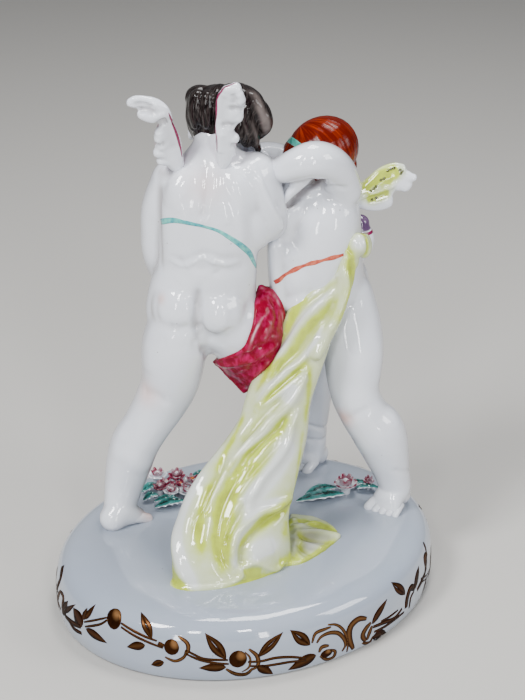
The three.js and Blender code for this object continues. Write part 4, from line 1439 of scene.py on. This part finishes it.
# The cloth's right edge as stations in pixels, the flap's two edges, and painted grey shade on the flap.
CLOTH_EDGE_PIXELS = [
    (346, 258, 7.4, 6, 2.6), (344, 276, 6.4, 8, 2.8), (341, 298, 5.4, 8, 3), (335, 316, 4, 8, 3.4),
    (326, 334, 2, 8, 3.6), (316, 354, -1.6, 7, 3.4),
]
FLAP_ROOT = [(290, 514), (286, 530), (284, 548), (284, 568)]
FLAP_HEM = [(310, 517), (328, 523), (342, 535), (340, 540), (328, 549), (312, 560), (296, 566)]
FLAP_PAINTED_SHADE = [([(303, 530), (306, 545), (312, 552)], 5, 0.5), ([(306, 533), (320, 538), (332, 539)], 4, 0.4)]

# The knot's middle, left white as a painted highlight, and its grooves in pixels, each with its width in mm.
KNOT_HIGHLIGHT_PIXEL = (360, 243)
KNOT_FORMS = [
    ([(352, 233), (347, 240), (347, 249), (352, 255)], 0.8), ([(366, 238), (368, 248), (364, 256)], 0.7),
    ([(354, 231), (360, 231), (366, 236)], 0.9),
]


def falling_cloth(plinth):
    """The long cloth: knotted at the hip, drawn across the loins and let fall in slanting folds."""
    clay = [
        limb("fall", FALLING_CLOTH, sides=48, steps=6, wide=(0.75, -0.6, -0.3), wide_end=(0.91, 0.42, 0)),
        photo_limb("edge", CLOTH_EDGE_PIXELS),
        drape("flap", [skin_tree(plinth)], FLAP_ROOT, FLAP_HEM, rows=12, columns=14, thickness=2.2),
        lump("hem", (-6, -31, 21.6), (19.6, 8, 2.4), turn=(0, 0, 20)),
        lump("knot", (35.8, 8.8, 120), (3.8, 4, 4)),
        lump("knot", (33.8, 8.4, 118.2), (3.4, 3.4, 3.8)),
        lump("knot", (38, 11.4, 118.4), (2.6, 3.8, 4.2)),
        lump("knot", (33, 8.4, 114.6), (3.4, 3, 4)),
    ]
    cloth = press_together("long_cloth", clay, FINE_GRAIN, softness=10)
    tree = skin_tree(cloth)
    carve_forms(cloth, tree, LONG_VALLEYS + LONG_RIDGES)
    smooth(cloth, 2)
    set_share(cloth, "wash", np.full(len(cloth.data.vertices), 0.4))
    tint_forms(cloth, "wash", tree, LONG_WASHES)
    tint_forms(cloth, "wash", tree, [(pixels, width, 0.3) for pixels, width, height in LONG_VALLEYS])
    tint_forms(cloth, "wash", tree, [(pixels, width * 0.55, -0.4) for pixels, width, height in LONG_RIDGES])
    carve_forms(cloth, tree, [(pixels, width, -0.6) for pixels, width in KNOT_FORMS])
    tint_forms(cloth, "wash", tree, [(pixels, width * 1.4, 0.7) for pixels, width in KNOT_FORMS])
    # A painted highlight: the wash wiped off the knot's middle.
    dab(cloth, "wash", seen(tree, [KNOT_HIGHLIGHT_PIXEL])[0], 1.8, -0.8)
    tree_behind = skin_tree(cloth)
    for order in range(6):
        x = 5 * order - 12
        fold = [(18 + x * 0.3, 16, 92), (10 + x * 0.6, 12, 72), (3 + x, 4, 52), (-3 + x * 1.2, -8, 30)]
        path = nearest(tree_behind, fold)
        carve(cloth, path, 2.2, 0.9 - 1.8 * (order % 2))
        tint(cloth, "wash", path, 2.4, 0.6 - 1.0 * (order % 2))
    shade_smooth(cloth)
    # Hollows, which the material paints darker as shade.
    mark_hollows(cloth)
    # Painted shade on the flap.
    tint_forms(cloth, "hollow", tree, FLAP_PAINTED_SHADE)
    return cloth


THIGH_RIDGES = [
    ([(262, 318), (254, 334), (248, 351)], 1.0, 0.6), ([(248, 351), (254, 347)], 0.8, 0.5),
    ([(271, 322), (268, 330), (265, 338)], 0.9, 0.5), ([(281, 328), (282, 334), (272, 336)], 0.9, 0.5),
    ([(277, 344), (270, 350), (262, 355)], 1.0, 0.6),
    ([(262, 356), (245, 362), (230, 365), (216, 364)], 1.1, 0.7),
    ([(268, 362), (256, 374), (246, 388)], 1.1, 0.6),
    ([(262, 288), (274, 296), (281, 312), (282, 326)], 1.1, 0.5),
]
THIGH_VALLEYS = [
    ([(266, 292), (272, 300), (277, 315), (274, 330)], 1.0, -0.7),
    ([(258, 322), (252, 338), (244, 350)], 1.0, -0.5), ([(272, 340), (258, 348), (240, 358)], 1.0, -0.6),
    ([(266, 358), (252, 368), (238, 376)], 1.0, -0.6),
]
# Folds on the side that the photograph doesn't show, in mm.
FRONT_FOLDS = [
    ([(-24, 22, 98), (-12, 26, 93), (0, 24, 90)], 1.4, -0.9),
    ([(-24, 22, 94), (-12, 26, 89), (2, 26, 84)], 1.3, 0.8),
    ([(0, 26, 98), (8, 30, 88), (14, 32, 74)], 1.6, -1.0),
    ([(-6, 26, 96), (2, 30, 86), (6, 32, 72)], 1.5, 0.9),
    ([(-10, 26, 92), (-3, 30, 84), (0, 32, 74)], 1.4, -0.8),
    ([(10, 22, 96), (16, 24, 86), (19, 26, 76)], 1.3, 0.7),
    ([(-14, 27, 100), (-2, 26, 98), (8, 22, 99)], 1.2, 0.7),
]
THIGH_LEFT_EDGE = [(258.8, 284), (255, 300), (253, 322), (247, 340), (240, 350), (226, 356), (211, 360)]
THIGH_RIGHT_EDGE = [(261, 284), (276, 292), (286, 312), (285, 336), (270, 368), (256, 386), (243, 395)]


def thigh_cloth(flesh):
    """The magenta cloth over the right thigh and round the loins."""
    wrap = limb("wrap", THIGH_CLOTH, sides=40, steps=6)
    trees = [skin_tree(wrap), skin_tree(flesh)]
    clay = [
        wrap,
        drape("sheet", trees, THIGH_LEFT_EDGE, THIGH_RIGHT_EDGE, 24, 18, 1.6, lift=0.5, hang=7.0),
        lump("loin_cloth", (-13, 10.4, 96.6), (15, 8.2, 8.2)),
    ]
    cloth = press_together("thigh_cloth", clay, FINE_GRAIN, softness=6)
    tree = skin_tree(cloth)
    carve_forms(cloth, tree, THIGH_VALLEYS + THIGH_RIDGES)
    smooth(cloth, 2)
    # Pale lines on the ridges: enamel thin there, and painted highlights.
    tint_forms(cloth, "bare", tree, [(pixels, 0.34, 0.75) for pixels, width, height in THIGH_RIDGES])
    for path, width, height in FRONT_FOLDS:
        carve(cloth, nearest(tree, path), width, height)
    shade_smooth(cloth)
    return cloth


# Painted lines and the gilt vine

TEAL_LINE_PIXELS = [
    (161, 221.8), (170.4, 220.4), (182, 221.8), (193.9, 224.3), (205.6, 227), (217.4, 230.6), (229, 237.2),
    (240.8, 245.3), (249.6, 253.4), (254, 262.2), (256.2, 267),
]
RED_LINE_PIXELS = [
    (274.5, 282.5), (284, 275.5), (294.5, 269.7), (303, 266), (312.7, 263), (328.5, 258.8), (343.6, 254.5),
]

# Where they go on round the far side, in mm.
TEAL_LINE_IN_FRONT = [(5, 6, 113), (4, 10, 117), (-1, 16, 121), (-10, 18, 125), (-19, 14, 128), (-24, 9, 130)]
RED_LINE_BEHIND = [
    (38, 20, 118), (37, 30, 112), (28, 36, 108), (16, 32, 106), (9, 28, 105.4), (6.4, 20, 105),
    (7.8, 12.6, 105.2),
]


def teal_line(skin):
    """A turquoise ribbon painted slantwise round the first cupid's body."""
    brush = Brush(skin)
    brush.draw(TEAL_LINE_PIXELS, width=1.9, profile=lambda t: 0.75 + 0.25 * math.sin(9 * t + 1))
    brush.stroke(nearest(brush.tree, TEAL_LINE_IN_FRONT), width=1.8)
    return brush.finish("teal_ribbon")


def red_line(skin):
    """A red cord painted round the second cupid's waist."""
    brush = Brush(skin)
    brush.draw(RED_LINE_PIXELS, 1.7, profile=lambda t: 0.8 + 0.2 * math.sin(24 * t), across=8, spacing=0.25)
    brush.stroke(nearest(brush.tree, RED_LINE_BEHIND), width=1.6)
    return brush.finish("red_cord")


# The vine in pixels of the photograph: stems as lines, each with its width.
VINE_STEMS = [
    ([(84, 622), (96, 620), (107, 617.6)], 2.6), ([(85, 626.7), (99.6, 624.4), (108, 619.6)], 2.8),
    ([(121, 623), (132, 630), (146, 637), (157, 641)], 2.8),
    ([(121, 627), (135, 636), (150, 643), (163, 648)], 2.6),
    ([(186, 650), (195, 655), (205, 659), (228, 660)], 2.8),
    ([(186, 654), (200, 660), (215, 663), (229, 664)], 2.6),
    ([(248, 662), (262, 661), (275, 658), (290, 657), (306, 658)], 2.8),
    ([(250, 666), (264, 666), (278, 664), (290, 662), (306, 660)], 2.6),
    ([(373, 627), (384.4, 622.4), (394.4, 618), (402, 608.6)], 2.6),
    ([(374, 632), (384, 627), (394, 620), (404, 612)], 1.8), ([(381, 621.3), (389, 617), (398, 610)], 1.8),
    ([(65, 615.6), (71.8, 622.2), (80.7, 626.7)], 2.6), ([(68, 619), (74, 628.6), (81.8, 633.3)], 2.0),
    ([(406, 608), (407.2, 598), (410.6, 588), (415, 588)], 3.4),
    ([(409, 608), (410.6, 598), (414, 591)], 1.6), ([(417, 590), (423.9, 575.6), (426.4, 567.8)], 2.6),
    ([(426.4, 553), (423.3, 542.2)], 1.8), ([(62.9, 565.6), (60, 580), (57, 591)], 2.8),
    ([(158, 643), (164, 646)], 4.4),
]
# Arcs of the buds and roses: pixels and width in pixels.
VINE_ARCS = [
    ([(178, 636), (187, 643), (188, 650), (184, 657)], 4.5),
    ([(165, 657), (175, 661), (184, 657), (186, 650)], 3.4),
    ([(249, 649), (257, 656), (258, 665), (252, 670)], 4.6),
    ([(226, 669), (236, 674), (246, 674), (253, 668)], 3.6),
    ([(245, 652), (250, 658), (249, 667), (242, 672)], 2.4), ([(230, 671), (240, 675), (250, 672)], 2.2),
    ([(327.8, 624.7), (336, 624.7), (342.4, 629), (346.7, 637), (347.8, 644.7), (346.7, 652)], 3.2),
    ([(312, 643), (315.5, 633.5), (325.5, 629), (331, 627)], 3.4),
    ([(316.7, 643), (321, 637), (329, 633), (337.8, 633), (343.3, 638), (345.5, 644.7), (342, 651.3)], 4.2),
    ([(319, 652.4), (322, 647), (329, 645.6)], 3.6),
    ([(330, 649.7), (335, 651.3), (333.3, 657), (326.7, 659.4), (320, 656)], 2.8),
    ([(366.7, 618.6), (359, 619), (352, 624.7), (349, 632.4), (350, 641.3), (353.3, 649)], 5.6),
    ([(371, 622.4), (365.6, 629), (362.8, 635.8), (365.6, 641.3)], 4.2),
    ([(372, 625.8), (369, 634), (367, 640)], 3.2), ([(362, 643), (369, 642.6), (373, 636)], 1.8),
    ([(425.4, 567), (424.8, 559), (427, 552.6)], 3.4), ([(60.4, 591), (58, 600), (60.8, 609.4)], 2.6),
    ([(60.4, 591), (63.4, 598), (61.8, 609)], 2.6),
]
# Solid domes: centre, half width and half height in pixels.
VINE_DOMES = [((114, 619), 7.3, 10.6), ((171.5, 647), 7.5, 8), ((238, 659), 9, 8.5), ((326.5, 653.4), 5.6, 4)]
# Leaves: root, tip, width in pixels, and whether a bare line splits the blade.
VINE_LEAVES = [
    ((86, 629), (107, 643), 6, False), ((83, 619.5), (87.3, 607.8), 4.4, False),
    ((84.5, 619), (95.7, 604.4), 4.6, False), ((81.8, 627), (73.4, 607.8), 8, False),
    ((62.3, 613.3), (68, 601), 4.4, False), ((64, 612), (75.7, 604.4), 4.2, False),
    ((152, 639), (141, 612), 9, True), ((145, 645), (127, 647), 8, False), ((164, 662), (151, 665), 7, True),
    ((226, 659), (205, 633), 12, True), ((226, 667), (199, 668), 8, False), ((258, 657), (283, 632), 9, True),
    ((257, 666), (273, 674), 8, False), ((310, 645), (290, 630), 12, True),
    ((316, 655), (288, 670), 9, False), ((372, 624), (387, 599), 5, False),
    ((372.5, 637), (386, 633), 5, False), ((405, 594.4), (391, 582.2), 8.6, True),
    ((415, 589), (418.6, 566), 4, False),
]
# On the plinth's ends, where the photograph shows little of it: angle in degrees and height in mm.
END_STEMS = [
    ([(-14, 10), (-6, 7), (3, 6.4), (12, 9), (21, 12)], 0.7),
    ([(-14, 8.4), (-5, 5.6), (4, 5), (13, 7.8), (21, 10.6)], 0.6),
    ([(3, 6), (6, 9.4), (9.6, 11.4), (12.6, 9.4), (10.6, 7)], 0.9),
    ([(4.6, 5), (9, 3.6), (14, 5), (15, 8)], 0.8),
]
END_LEAVES = [
    ((-10, 9), (-6, 15.4), 2.6), ((-7, 6), (-11.4, 2), 2.4), ((-1, 6.6), (2, 13), 2.6),
    ((0, 5), (-3.6, 1.4), 2.2), ((16, 10), (14, 16), 2.4), ((17.4, 8.4), (21, 3.4), 2.6),
]


def painted_width(tree, path, pixels):
    """The width on a skin, in millimetres, of a stroke that looks `pixels` wide at the middle of its path."""
    middle = len(path) // 2
    x, y = path[middle]
    run = Vector((x - path[middle - 1][0], y - path[middle - 1][1]))
    side = Vector((-run.y, run.x)).normalized() * pixels / 2
    left, right = seen(tree, [(x - side.x, y - side.y), (x + side.x, y + side.y)])
    return min((Vector(left) - Vector(right)).length, pixels * 0.8)


def gilt_vine(plinth):
    """A running rose vine in gold round the plinth's wall: double stems that carry buds, open roses and
    split leaves. The photograph shows half of it. The other half is the same, turned half way round."""
    brush = Brush(plinth)

    def draw(pixels, width, *shape, **look):
        brush.draw(pixels, painted_width(brush.tree, pixels, width), *shape, **look)

    # Every stroke carries a painted highlight along its middle line, the arcs a brighter one.
    for pixels, width in VINE_STEMS:
        draw(pixels, width, lambda t: 0.7 + 0.3 * pointed(t), across=2)
    for pixels, width in VINE_ARCS:
        draw(pixels, width, tapered, spacing=0.4, burnish=0.5)
    # Domes, each with a painted highlight near its top.
    for (x, y), half_width, half_height in VINE_DOMES:
        pixels = [(x, y - half_height), (x, y), (x, y + half_height)]
        draw(pixels, 2 * half_width, round_dab, 8, 0.3, burnish=1.0, highlight_spot=(0.3, -0.4))
    for root, tip, width, split in VINE_LEAVES:
        run = Vector((tip[0] - root[0], tip[1] - root[1]))
        side = Vector((-run.y, run.x)).normalized() * width
        middle = Vector(root) + run * 0.45
        for shift in ((-0.27, 0.27) if split else (0,)):
            half_leaf = [root, tuple(middle + side * shift), tip]
            draw(half_leaf, width * (0.52 if split else 1.1), leaf_like, spacing=0.4)
    for path, width in END_STEMS:
        brush.stroke([wall_place(*at) for at in path], width, across=2)
    # The bud, with a painted highlight near its top.
    bud = [wall_place(9, height) for height in (9.4, 7.4, 5.4)]
    brush.stroke(bud, 4, round_dab, across=6, spacing=0.4, burnish=1.1, highlight_spot=(0.36, -0.35))
    for root, tip, width in END_LEAVES:
        brush.stroke([wall_place(*root), wall_place(*tip)], width, leaf_like, spacing=0.4)
    count = len(brush.points)
    brush.burnish += brush.burnish
    brush.points += [(-x, -y, z) for x, y, z in brush.points]
    brush.faces += [tuple(corner + count for corner in face) for face in brush.faces]
    return brush.finish("gilt_vine")


# Flowers on the ground

def petal(root, out, length, width, lift, tint_from):
    """One cupped petal from its root outwards, tinted towards its tip."""
    out = Vector(out).normalized()
    root = Vector(root)
    middle = root + out * length * 0.55 + Vector((0, 0, lift * 0.3))
    tip = root + out * length + Vector((0, 0, lift))
    return limb(
        "petal",
        [(*root, width * 0.25, 0.5), (*middle, width * 0.5, 0.5), (*tip, width * 0.2, 0.3)],
        sides=14,
        steps=5,
        caps=3,
        wide=(-out.y, out.x, 0),
        relief=lambda angle, t: -0.35 * max(0.0, math.sin(angle)) ** 3 * math.sin(math.pi * t),
        paint=lambda angle, t: min(max((t - tint_from) * 3.0 + 0.1 * abs(math.cos(angle)), 0), 1),
    )


def blossom(place, size, petals, opening, heart, tint_from, turn):
    """A small flower: a ring of broad petals and an inner ring that stands up round its heart."""
    x, y, z = place
    pieces = []
    for ring, (share, lift) in enumerate(((1.0, 0.35), (0.62, 0.75))):
        for k in range(petals - ring):
            angle = turn + 2 * math.pi * (k + 0.5 * ring) / (petals - ring)
            root = (x, y, z + 0.4 * ring)
            out = (math.cos(angle), math.sin(angle), 0)
            length = size * share * opening
            rise = size * lift * (1.7 - opening)
            pieces.append(petal(root, out, length, size * 1.15 * share, rise, tint_from - 0.5 * ring))
    stalk = [(x, y, z - 2.4, size * 0.35), (x, y, z + 0.5, size * 0.4)]
    middle = [(x, y, z, size * 0.24), (x, y, z + size * 0.42, size * 0.24)]
    pieces.append(limb("stalk", stalk, sides=12, caps=3))
    pieces.append(limb("heart", middle, sides=12, caps=4))
    for piece in pieces:
        redness = heart if piece is pieces[-1] else 0.0
        set_share(piece, "heart", np.full(len(piece.data.vertices), redness))
    return pieces


def garland_leaf(root, tip, width, lift):
    """A leaf with a toothed edge, a sunk middle vein and a bare white rim."""
    root = Vector(root)
    run = Vector(tip) - root
    side = Vector((-run.y, run.x, 0)).normalized()
    stations = []
    for t, share in ((0, 0.2), (0.25, 0.8), (0.5, 1.0), (0.8, 0.66), (1.0, 0.1)):
        middle = root + run * t + Vector((0, 0, lift * math.sin(math.pi * t)))
        stations.append((*middle, width / 2 * share, 0.65 - 0.25 * t))

    def veins(angle, t):
        outward = abs(math.cos(angle))
        tooth = 0.4 * max(0.0, outward - 0.8) * 5 * math.sin(30 * t)
        if math.sin(angle) <= 0:
            return tooth
        return tooth - 0.3 * math.exp(-(outward / 0.16) ** 2) + 0.1 * math.sin(34 * t - 7 * outward)

    def colour(angle, t):
        outward = abs(math.cos(angle))
        rim = max(0.0, outward - 0.88) * 8
        return max((1.35 - 0.6 * outward if math.sin(angle) > -0.2 else 0.25) - rim, 0)

    return limb("leaf", stations, sides=36, steps=8, caps=3, wide=tuple(side), relief=veins, paint=colour)


def ground(x, y):
    """Height of the plinth's top at a place."""
    chosen = settings()
    turn = chosen.plinth_turn
    u = x * math.cos(turn) + y * math.sin(turn)
    v = (-x * math.sin(turn) + y * math.cos(turn)) * chosen.plinth_half_length / chosen.plinth_half_width
    crown = sorted(PLINTH_PROFILE[9:])
    return float(np.interp(math.hypot(u, v), *zip(*crown)))


# Blossoms: x, y, size in mm, petals, how far they open, redness of the heart, where the tint starts, turn.
LEFT_BLOSSOMS = [
    (-31.4, 30.8, 3.8, 6, 0.85, 0.15, 1.0, 0.3), (-24.6, 29.6, 3.5, 6, 0.8, 0.1, 0.0, 0.9),
    (-28, 24.4, 2.8, 5, 0.95, 0.5, 0.35, 0.1), (-19, 25, 3.4, 6, 0.95, 1.0, 0.85, 1.2),
    (-23, 22, 2.9, 5, 0.9, 0.9, 0.5, 0.5), (-20.4, 17.4, 3, 5, 1.0, 0.3, 1.0, 0.0),
    (-26, 17.8, 2.9, 5, 0.9, 0.2, 0.95, 0.7), (-30, 21.6, 2.7, 5, 0.9, 0.3, 0.2, 1.4),
]
LEFT_LEAVES = [
    ((-31, 26), (-36.4, 22), 4.4), ((-21.8, 13), (-31, 9.8), 5.2), ((-19.4, 31.6), (-12.4, 34), 4),
    ((-18.6, 28), (-12.6, 30.4), 4), ((-31, 18), (-35.4, 15.4), 3.6), ((-20, 21), (-15, 20), 3.6),
    ((-24, 14.6), (-31.6, 14), 4),
]
RIGHT_BLOSSOMS = [(34.2, 22.6, 4.8, 7, 0.8, 0.0, 0.75, 0.4), (42.4, 26.4, 2.5, 5, 0.7, 0.3, 0.6, 1.0)]
RIGHT_LEAVES = [
    ((30.5, 23.2), (20.4, 18.4), 5.4), ((33, 18.6), (17.2, 13.4), 6), ((38.5, 23.7), (46.2, 25), 3.6),
    ((36, 25), (42, 29), 3.8),
]


def garland(name, blossoms, leaves):
    """Hand-set flowers: blossoms on a low bed of leaves."""
    petals = []
    for x, y, *form in blossoms:
        petals += blossom((x, y, ground(x, y) + 2.6), *form)
    greens = []
    for root, tip, width in leaves:
        greens.append(garland_leaf((*root, ground(*root) + 1.6), (*tip, ground(*tip) + 1.2), width, lift=1.2))
    flowers = join_pieces(f"{name}_blossoms", petals)
    foliage = join_pieces(f"{name}_leaves", greens)
    shade_smooth(flowers)
    shade_smooth(foliage)
    return flowers, foliage


# Operators

class Step:
    """One step of the work, which the panel shows as a button."""

    def execute(self, context):
        self.build()
        return {"FINISHED"}


class FIGURINE_OT_plinth(Step, bpy.types.Operator):
    """Builds the oval plinth"""

    bl_idname = "figurine.plinth"
    bl_label = "Plinth"

    def build(self):
        # Its deeper tone is also painted shade where the plinth turns away from the eye.
        material = glazed_porcelain("cool white plinth glaze", "plinth_white", "#b9bdc2")
        finish_piece(build_plinth(), material, "plinth_glaze", "plinth")


class FIGURINE_OT_vine(Step, bpy.types.Operator):
    """Paints the gilt vine round the plinth's wall"""

    bl_idname = "figurine.vine"
    bl_label = "Gilt vine"

    def build(self):
        finish_piece(gilt_vine(bpy.data.objects["oval_plinth"]), fired_gilding(), "plinth_glaze")


class FIGURINE_OT_cupids(Step, bpy.types.Operator):
    """Models both cupids' bodies and the lines painted on them"""

    bl_idname = "figurine.cupids"
    bl_label = "Cupids"

    def build(self):
        first = flesh_one()
        second = flesh_two()
        finish_figures(glazed_porcelain("warm white figure glaze", "glaze", "glaze_deep_and_shade"), first, second)
        finish_paint(plain_enamel("turquoise enamel", "teal", "#6cc4b8"), teal_line(first))
        finish_paint(plain_enamel("iron-red line", "cord_red", "#d0674a"), red_line(second))
        brown = plain_enamel("brown line enamel", "#5a3626", "#3a221a")
        blue = plain_enamel("grey-blue iris enamel", "#4c6478", "#2c3c4c")
        rose = plain_enamel("rose lip enamel", "#c0483f", "#d5766a")
        for face in ((first, head_one(), "first"), (second, head_two(), "second")):
            finish_paint(brown, face_paint(*face, "brows", pointed, across=2, spacing=0.4))
            finish_paint(blue, face_paint(*face, "irises", round_dab, across=4, spacing=0.2))
            finish_paint(rose, face_paint(*face, "lips", pointed, across=3, spacing=0.3))


class FIGURINE_OT_hair(Step, bpy.types.Operator):
    """Models both heads of hair, the forelock and the headband"""

    bl_idname = "figurine.hair"
    bl_label = "Hair"

    def build(self):
        dark = streaked_enamel("brown-black hair enamel", "dark_hair", "#6e6562", 0.35, 0.3, gloss=0.2)
        red = streaked_enamel(
            "iron-red hair enamel", "red_hair", "#96300c", 0.9, 0.75, roughness=0.24, gloss=0.18
        )
        brown = streaked_enamel("brown forelock enamel", "#8a4526", "#d29a74", 0.5)
        finish_figures(dark, hair_one())
        hair = hair_two()
        finish_figures(red, hair)
        finish_paint(brown, forelock())
        finish_paint(plain_enamel("turquoise band enamel", "#2f8f80", "#55b3a4"), headband(hair))


class FIGURINE_OT_wings(Step, bpy.types.Operator):
    """Models the wings and the quiver"""

    bl_idname = "figurine.wings"
    bl_label = "Wings and quiver"

    def build(self):
        left = rose_wing("left_wing_of_first", LEFT_WING_ONE, 1.4, -8, LEFT_WING_FORMS)
        right = rose_wing("right_wing_of_first", RIGHT_WING_ONE, -0.4, -8.4, RIGHT_WING_FORMS)
        near = yellow_wing()
        far = wing("far_wing_of_second", FAR_WING_TWO, 28, 40)
        left_edge = rose_edge(left, "left_rose_edge", LEFT_EDGE_PIXELS)
        right_edge = rose_edge(right, "right_rose_edge", RIGHT_EDGE_PIXELS)
        finish_paint(plain_enamel("olive dot enamel", "#54591f", "#3c3f1c"), wing_spots(near))
        case = quiver()
        purple = plain_enamel("gold-purple edge enamel", "#8c1550", "#6d0f3e")
        finish_paint(purple, left_edge, right_edge, quiver_rim(case))
        rosy = washed_enamel("magenta-backed wing glaze", "glaze", "#b04a7c", "#8c1550", "paint", 3.0)
        yellow = washed_enamel("yellow wing enamel", "glaze", "lime", "#9aa545", "paint", 2.0)
        lilac = washed_enamel("lilac quiver enamel", "glaze", "#644b6e", "#4d365a", "paint", 3.0)
        finish_figures(rosy, left, right)
        finish_figures(yellow, near, far)
        finish_figures(lilac, case)


class FIGURINE_OT_cloths(Step, bpy.types.Operator):
    """Models the long yellow-green cloth and the magenta thigh cloth"""

    bl_idname = "figurine.cloths"
    bl_label = "Cloths"

    def build(self):
        wash = washed_enamel("yellow-green cloth wash", "#d7dcd9", "lime", "#8a8f3c", "wash")
        deep = streaked_enamel(
            "gold-purple cloth enamel", "magenta", "#b81f62", 2.0, 0.8, tall=1.4, gloss=0.15, ridge_highlight="#f2c6d2"
        )
        finish_figures(wash, falling_cloth(bpy.data.objects["oval_plinth"]))
        finish_figures(deep, thigh_cloth(bpy.data.objects["dark_haired_cupid"]))


class FIGURINE_OT_garlands(Step, bpy.types.Operator):
    """Sets the flowers and leaves on the plinth"""

    bl_idname = "figurine.garlands"
    bl_label = "Flowers"

    def build(self):
        petals = petal_enamel()
        greens = washed_enamel("blue-green leaf enamel", "glaze", "leaf_green", "#0d2f2b", "paint", 2.0)
        for name, blossoms, leaves, node in (
            ("left", LEFT_BLOSSOMS, LEFT_LEAVES, "garland_left"),
            ("right", RIGHT_BLOSSOMS, RIGHT_LEAVES, "garland_right"),
        ):
            flowers, foliage = garland(name, blossoms, leaves)
            finish_piece(flowers, petals, "foliage_enamel", node)
            finish_piece(foliage, greens, "foliage_enamel", node)


# Lamps: name, place and size in metres, and power in watts.
LAMPS = [
    ("key", (-0.42, -0.4, 0.7), (0.2, 0.26), 7.6),
    ("fill", (0.6, -0.2, 0.4), (0.26, 0.26), 2.2),
    ("top", (0.1, 0.2, 0.8), (0.3, 0.3), 5.0),
    ("left window", (-0.17, -0.74, 0.6), (0.1, 0.16), 2.0),
    ("right window", (0.22, -0.72, 0.6), (0.1, 0.16), 2.0),
    ("left low window", (-0.34, -0.9, 0.2), (0.07, 0.34), 1.6),
    ("right low window", (0.4, -0.86, 0.2), (0.07, 0.34), 1.6),
]


class FIGURINE_OT_stage(Step, bpy.types.Operator):
    """Sets the pale floor, the soft lights and the camera"""

    bl_idname = "figurine.stage"
    bl_label = "Stage"

    def build(self):
        bpy.ops.mesh.primitive_plane_add(size=6, location=(0, 0, 0))
        floor = bpy.context.object
        floor.name = "floor"
        paper = Recipe("pale paper floor", roughness=0.75, coat=0.0)
        paper.shader["Base Color"].default_value = linear("#bab8b4")
        floor.data.materials.append(paper.material)
        for name, place, (width, height), power in LAMPS:
            data = bpy.data.lights.new(name, "AREA")
            data.shape = "RECTANGLE"
            data.size = width
            data.size_y = height
            data.energy = power
            aim = (Vector((0, 0, 0.09)) - Vector(place)).to_track_quat("-Z", "Y").to_euler()
            self.set_down(data, place, aim)
        world = bpy.data.worlds.new("soft room")
        world.use_nodes = True
        sky = world.node_tree.nodes["Background"].inputs
        sky["Color"].default_value = linear("#c9ccd2")
        sky["Strength"].default_value = 0.17
        bpy.context.scene.world = world
        data = bpy.data.cameras.new("photograph")
        data.sensor_width = 36
        data.lens = 36 * FOCAL_PIXELS / FRAME_HEIGHT
        aim = (math.pi / 2 - CAMERA_TILT, 0, 0)
        bpy.context.scene.camera = self.set_down(data, CAMERA_PLACE * MM, aim)

    def set_down(self, data, place, aim):
        """Sets a lamp or a camera at its place."""
        thing = bpy.data.objects.new(data.name, data)
        thing.location = place
        thing.rotation_euler = aim
        bpy.context.collection.objects.link(thing)
        return thing


class FIGURINE_PT_panel(bpy.types.Panel):
    """Lists the figurine's sizes, colours and steps"""

    bl_label = "Porcelain Cupids"
    bl_space_type = "VIEW_3D"
    bl_region_type = "UI"
    bl_category = "Cupids"

    def draw(self, context):
        for name in FigurineSettings.__annotations__:
            self.layout.prop(context.scene.figurine, name)
        for step in STEPS:
            self.layout.operator(step.bl_idname)


STEPS = (
    FIGURINE_OT_plinth,
    FIGURINE_OT_vine,
    FIGURINE_OT_cupids,
    FIGURINE_OT_hair,
    FIGURINE_OT_wings,
    FIGURINE_OT_cloths,
    FIGURINE_OT_garlands,
    FIGURINE_OT_stage,
)


KINDS = (FigurineSettings, *STEPS, FIGURINE_PT_panel)


def register():
    for kind in KINDS:
        bpy.utils.register_class(kind)
    bpy.types.Scene.figurine = bpy.props.PointerProperty(type=FigurineSettings)


def unregister():
    del bpy.types.Scene.figurine
    for kind in reversed(KINDS):
        bpy.utils.unregister_class(kind)


def main():
    register()
    bpy.ops.figurine.plinth()
    bpy.ops.figurine.vine()
    bpy.ops.figurine.cupids()
    bpy.ops.figurine.hair()
    bpy.ops.figurine.wings()
    bpy.ops.figurine.cloths()
    bpy.ops.figurine.garlands()
    bpy.ops.figurine.stage()
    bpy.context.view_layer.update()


if __name__ == "__main__":
    main()
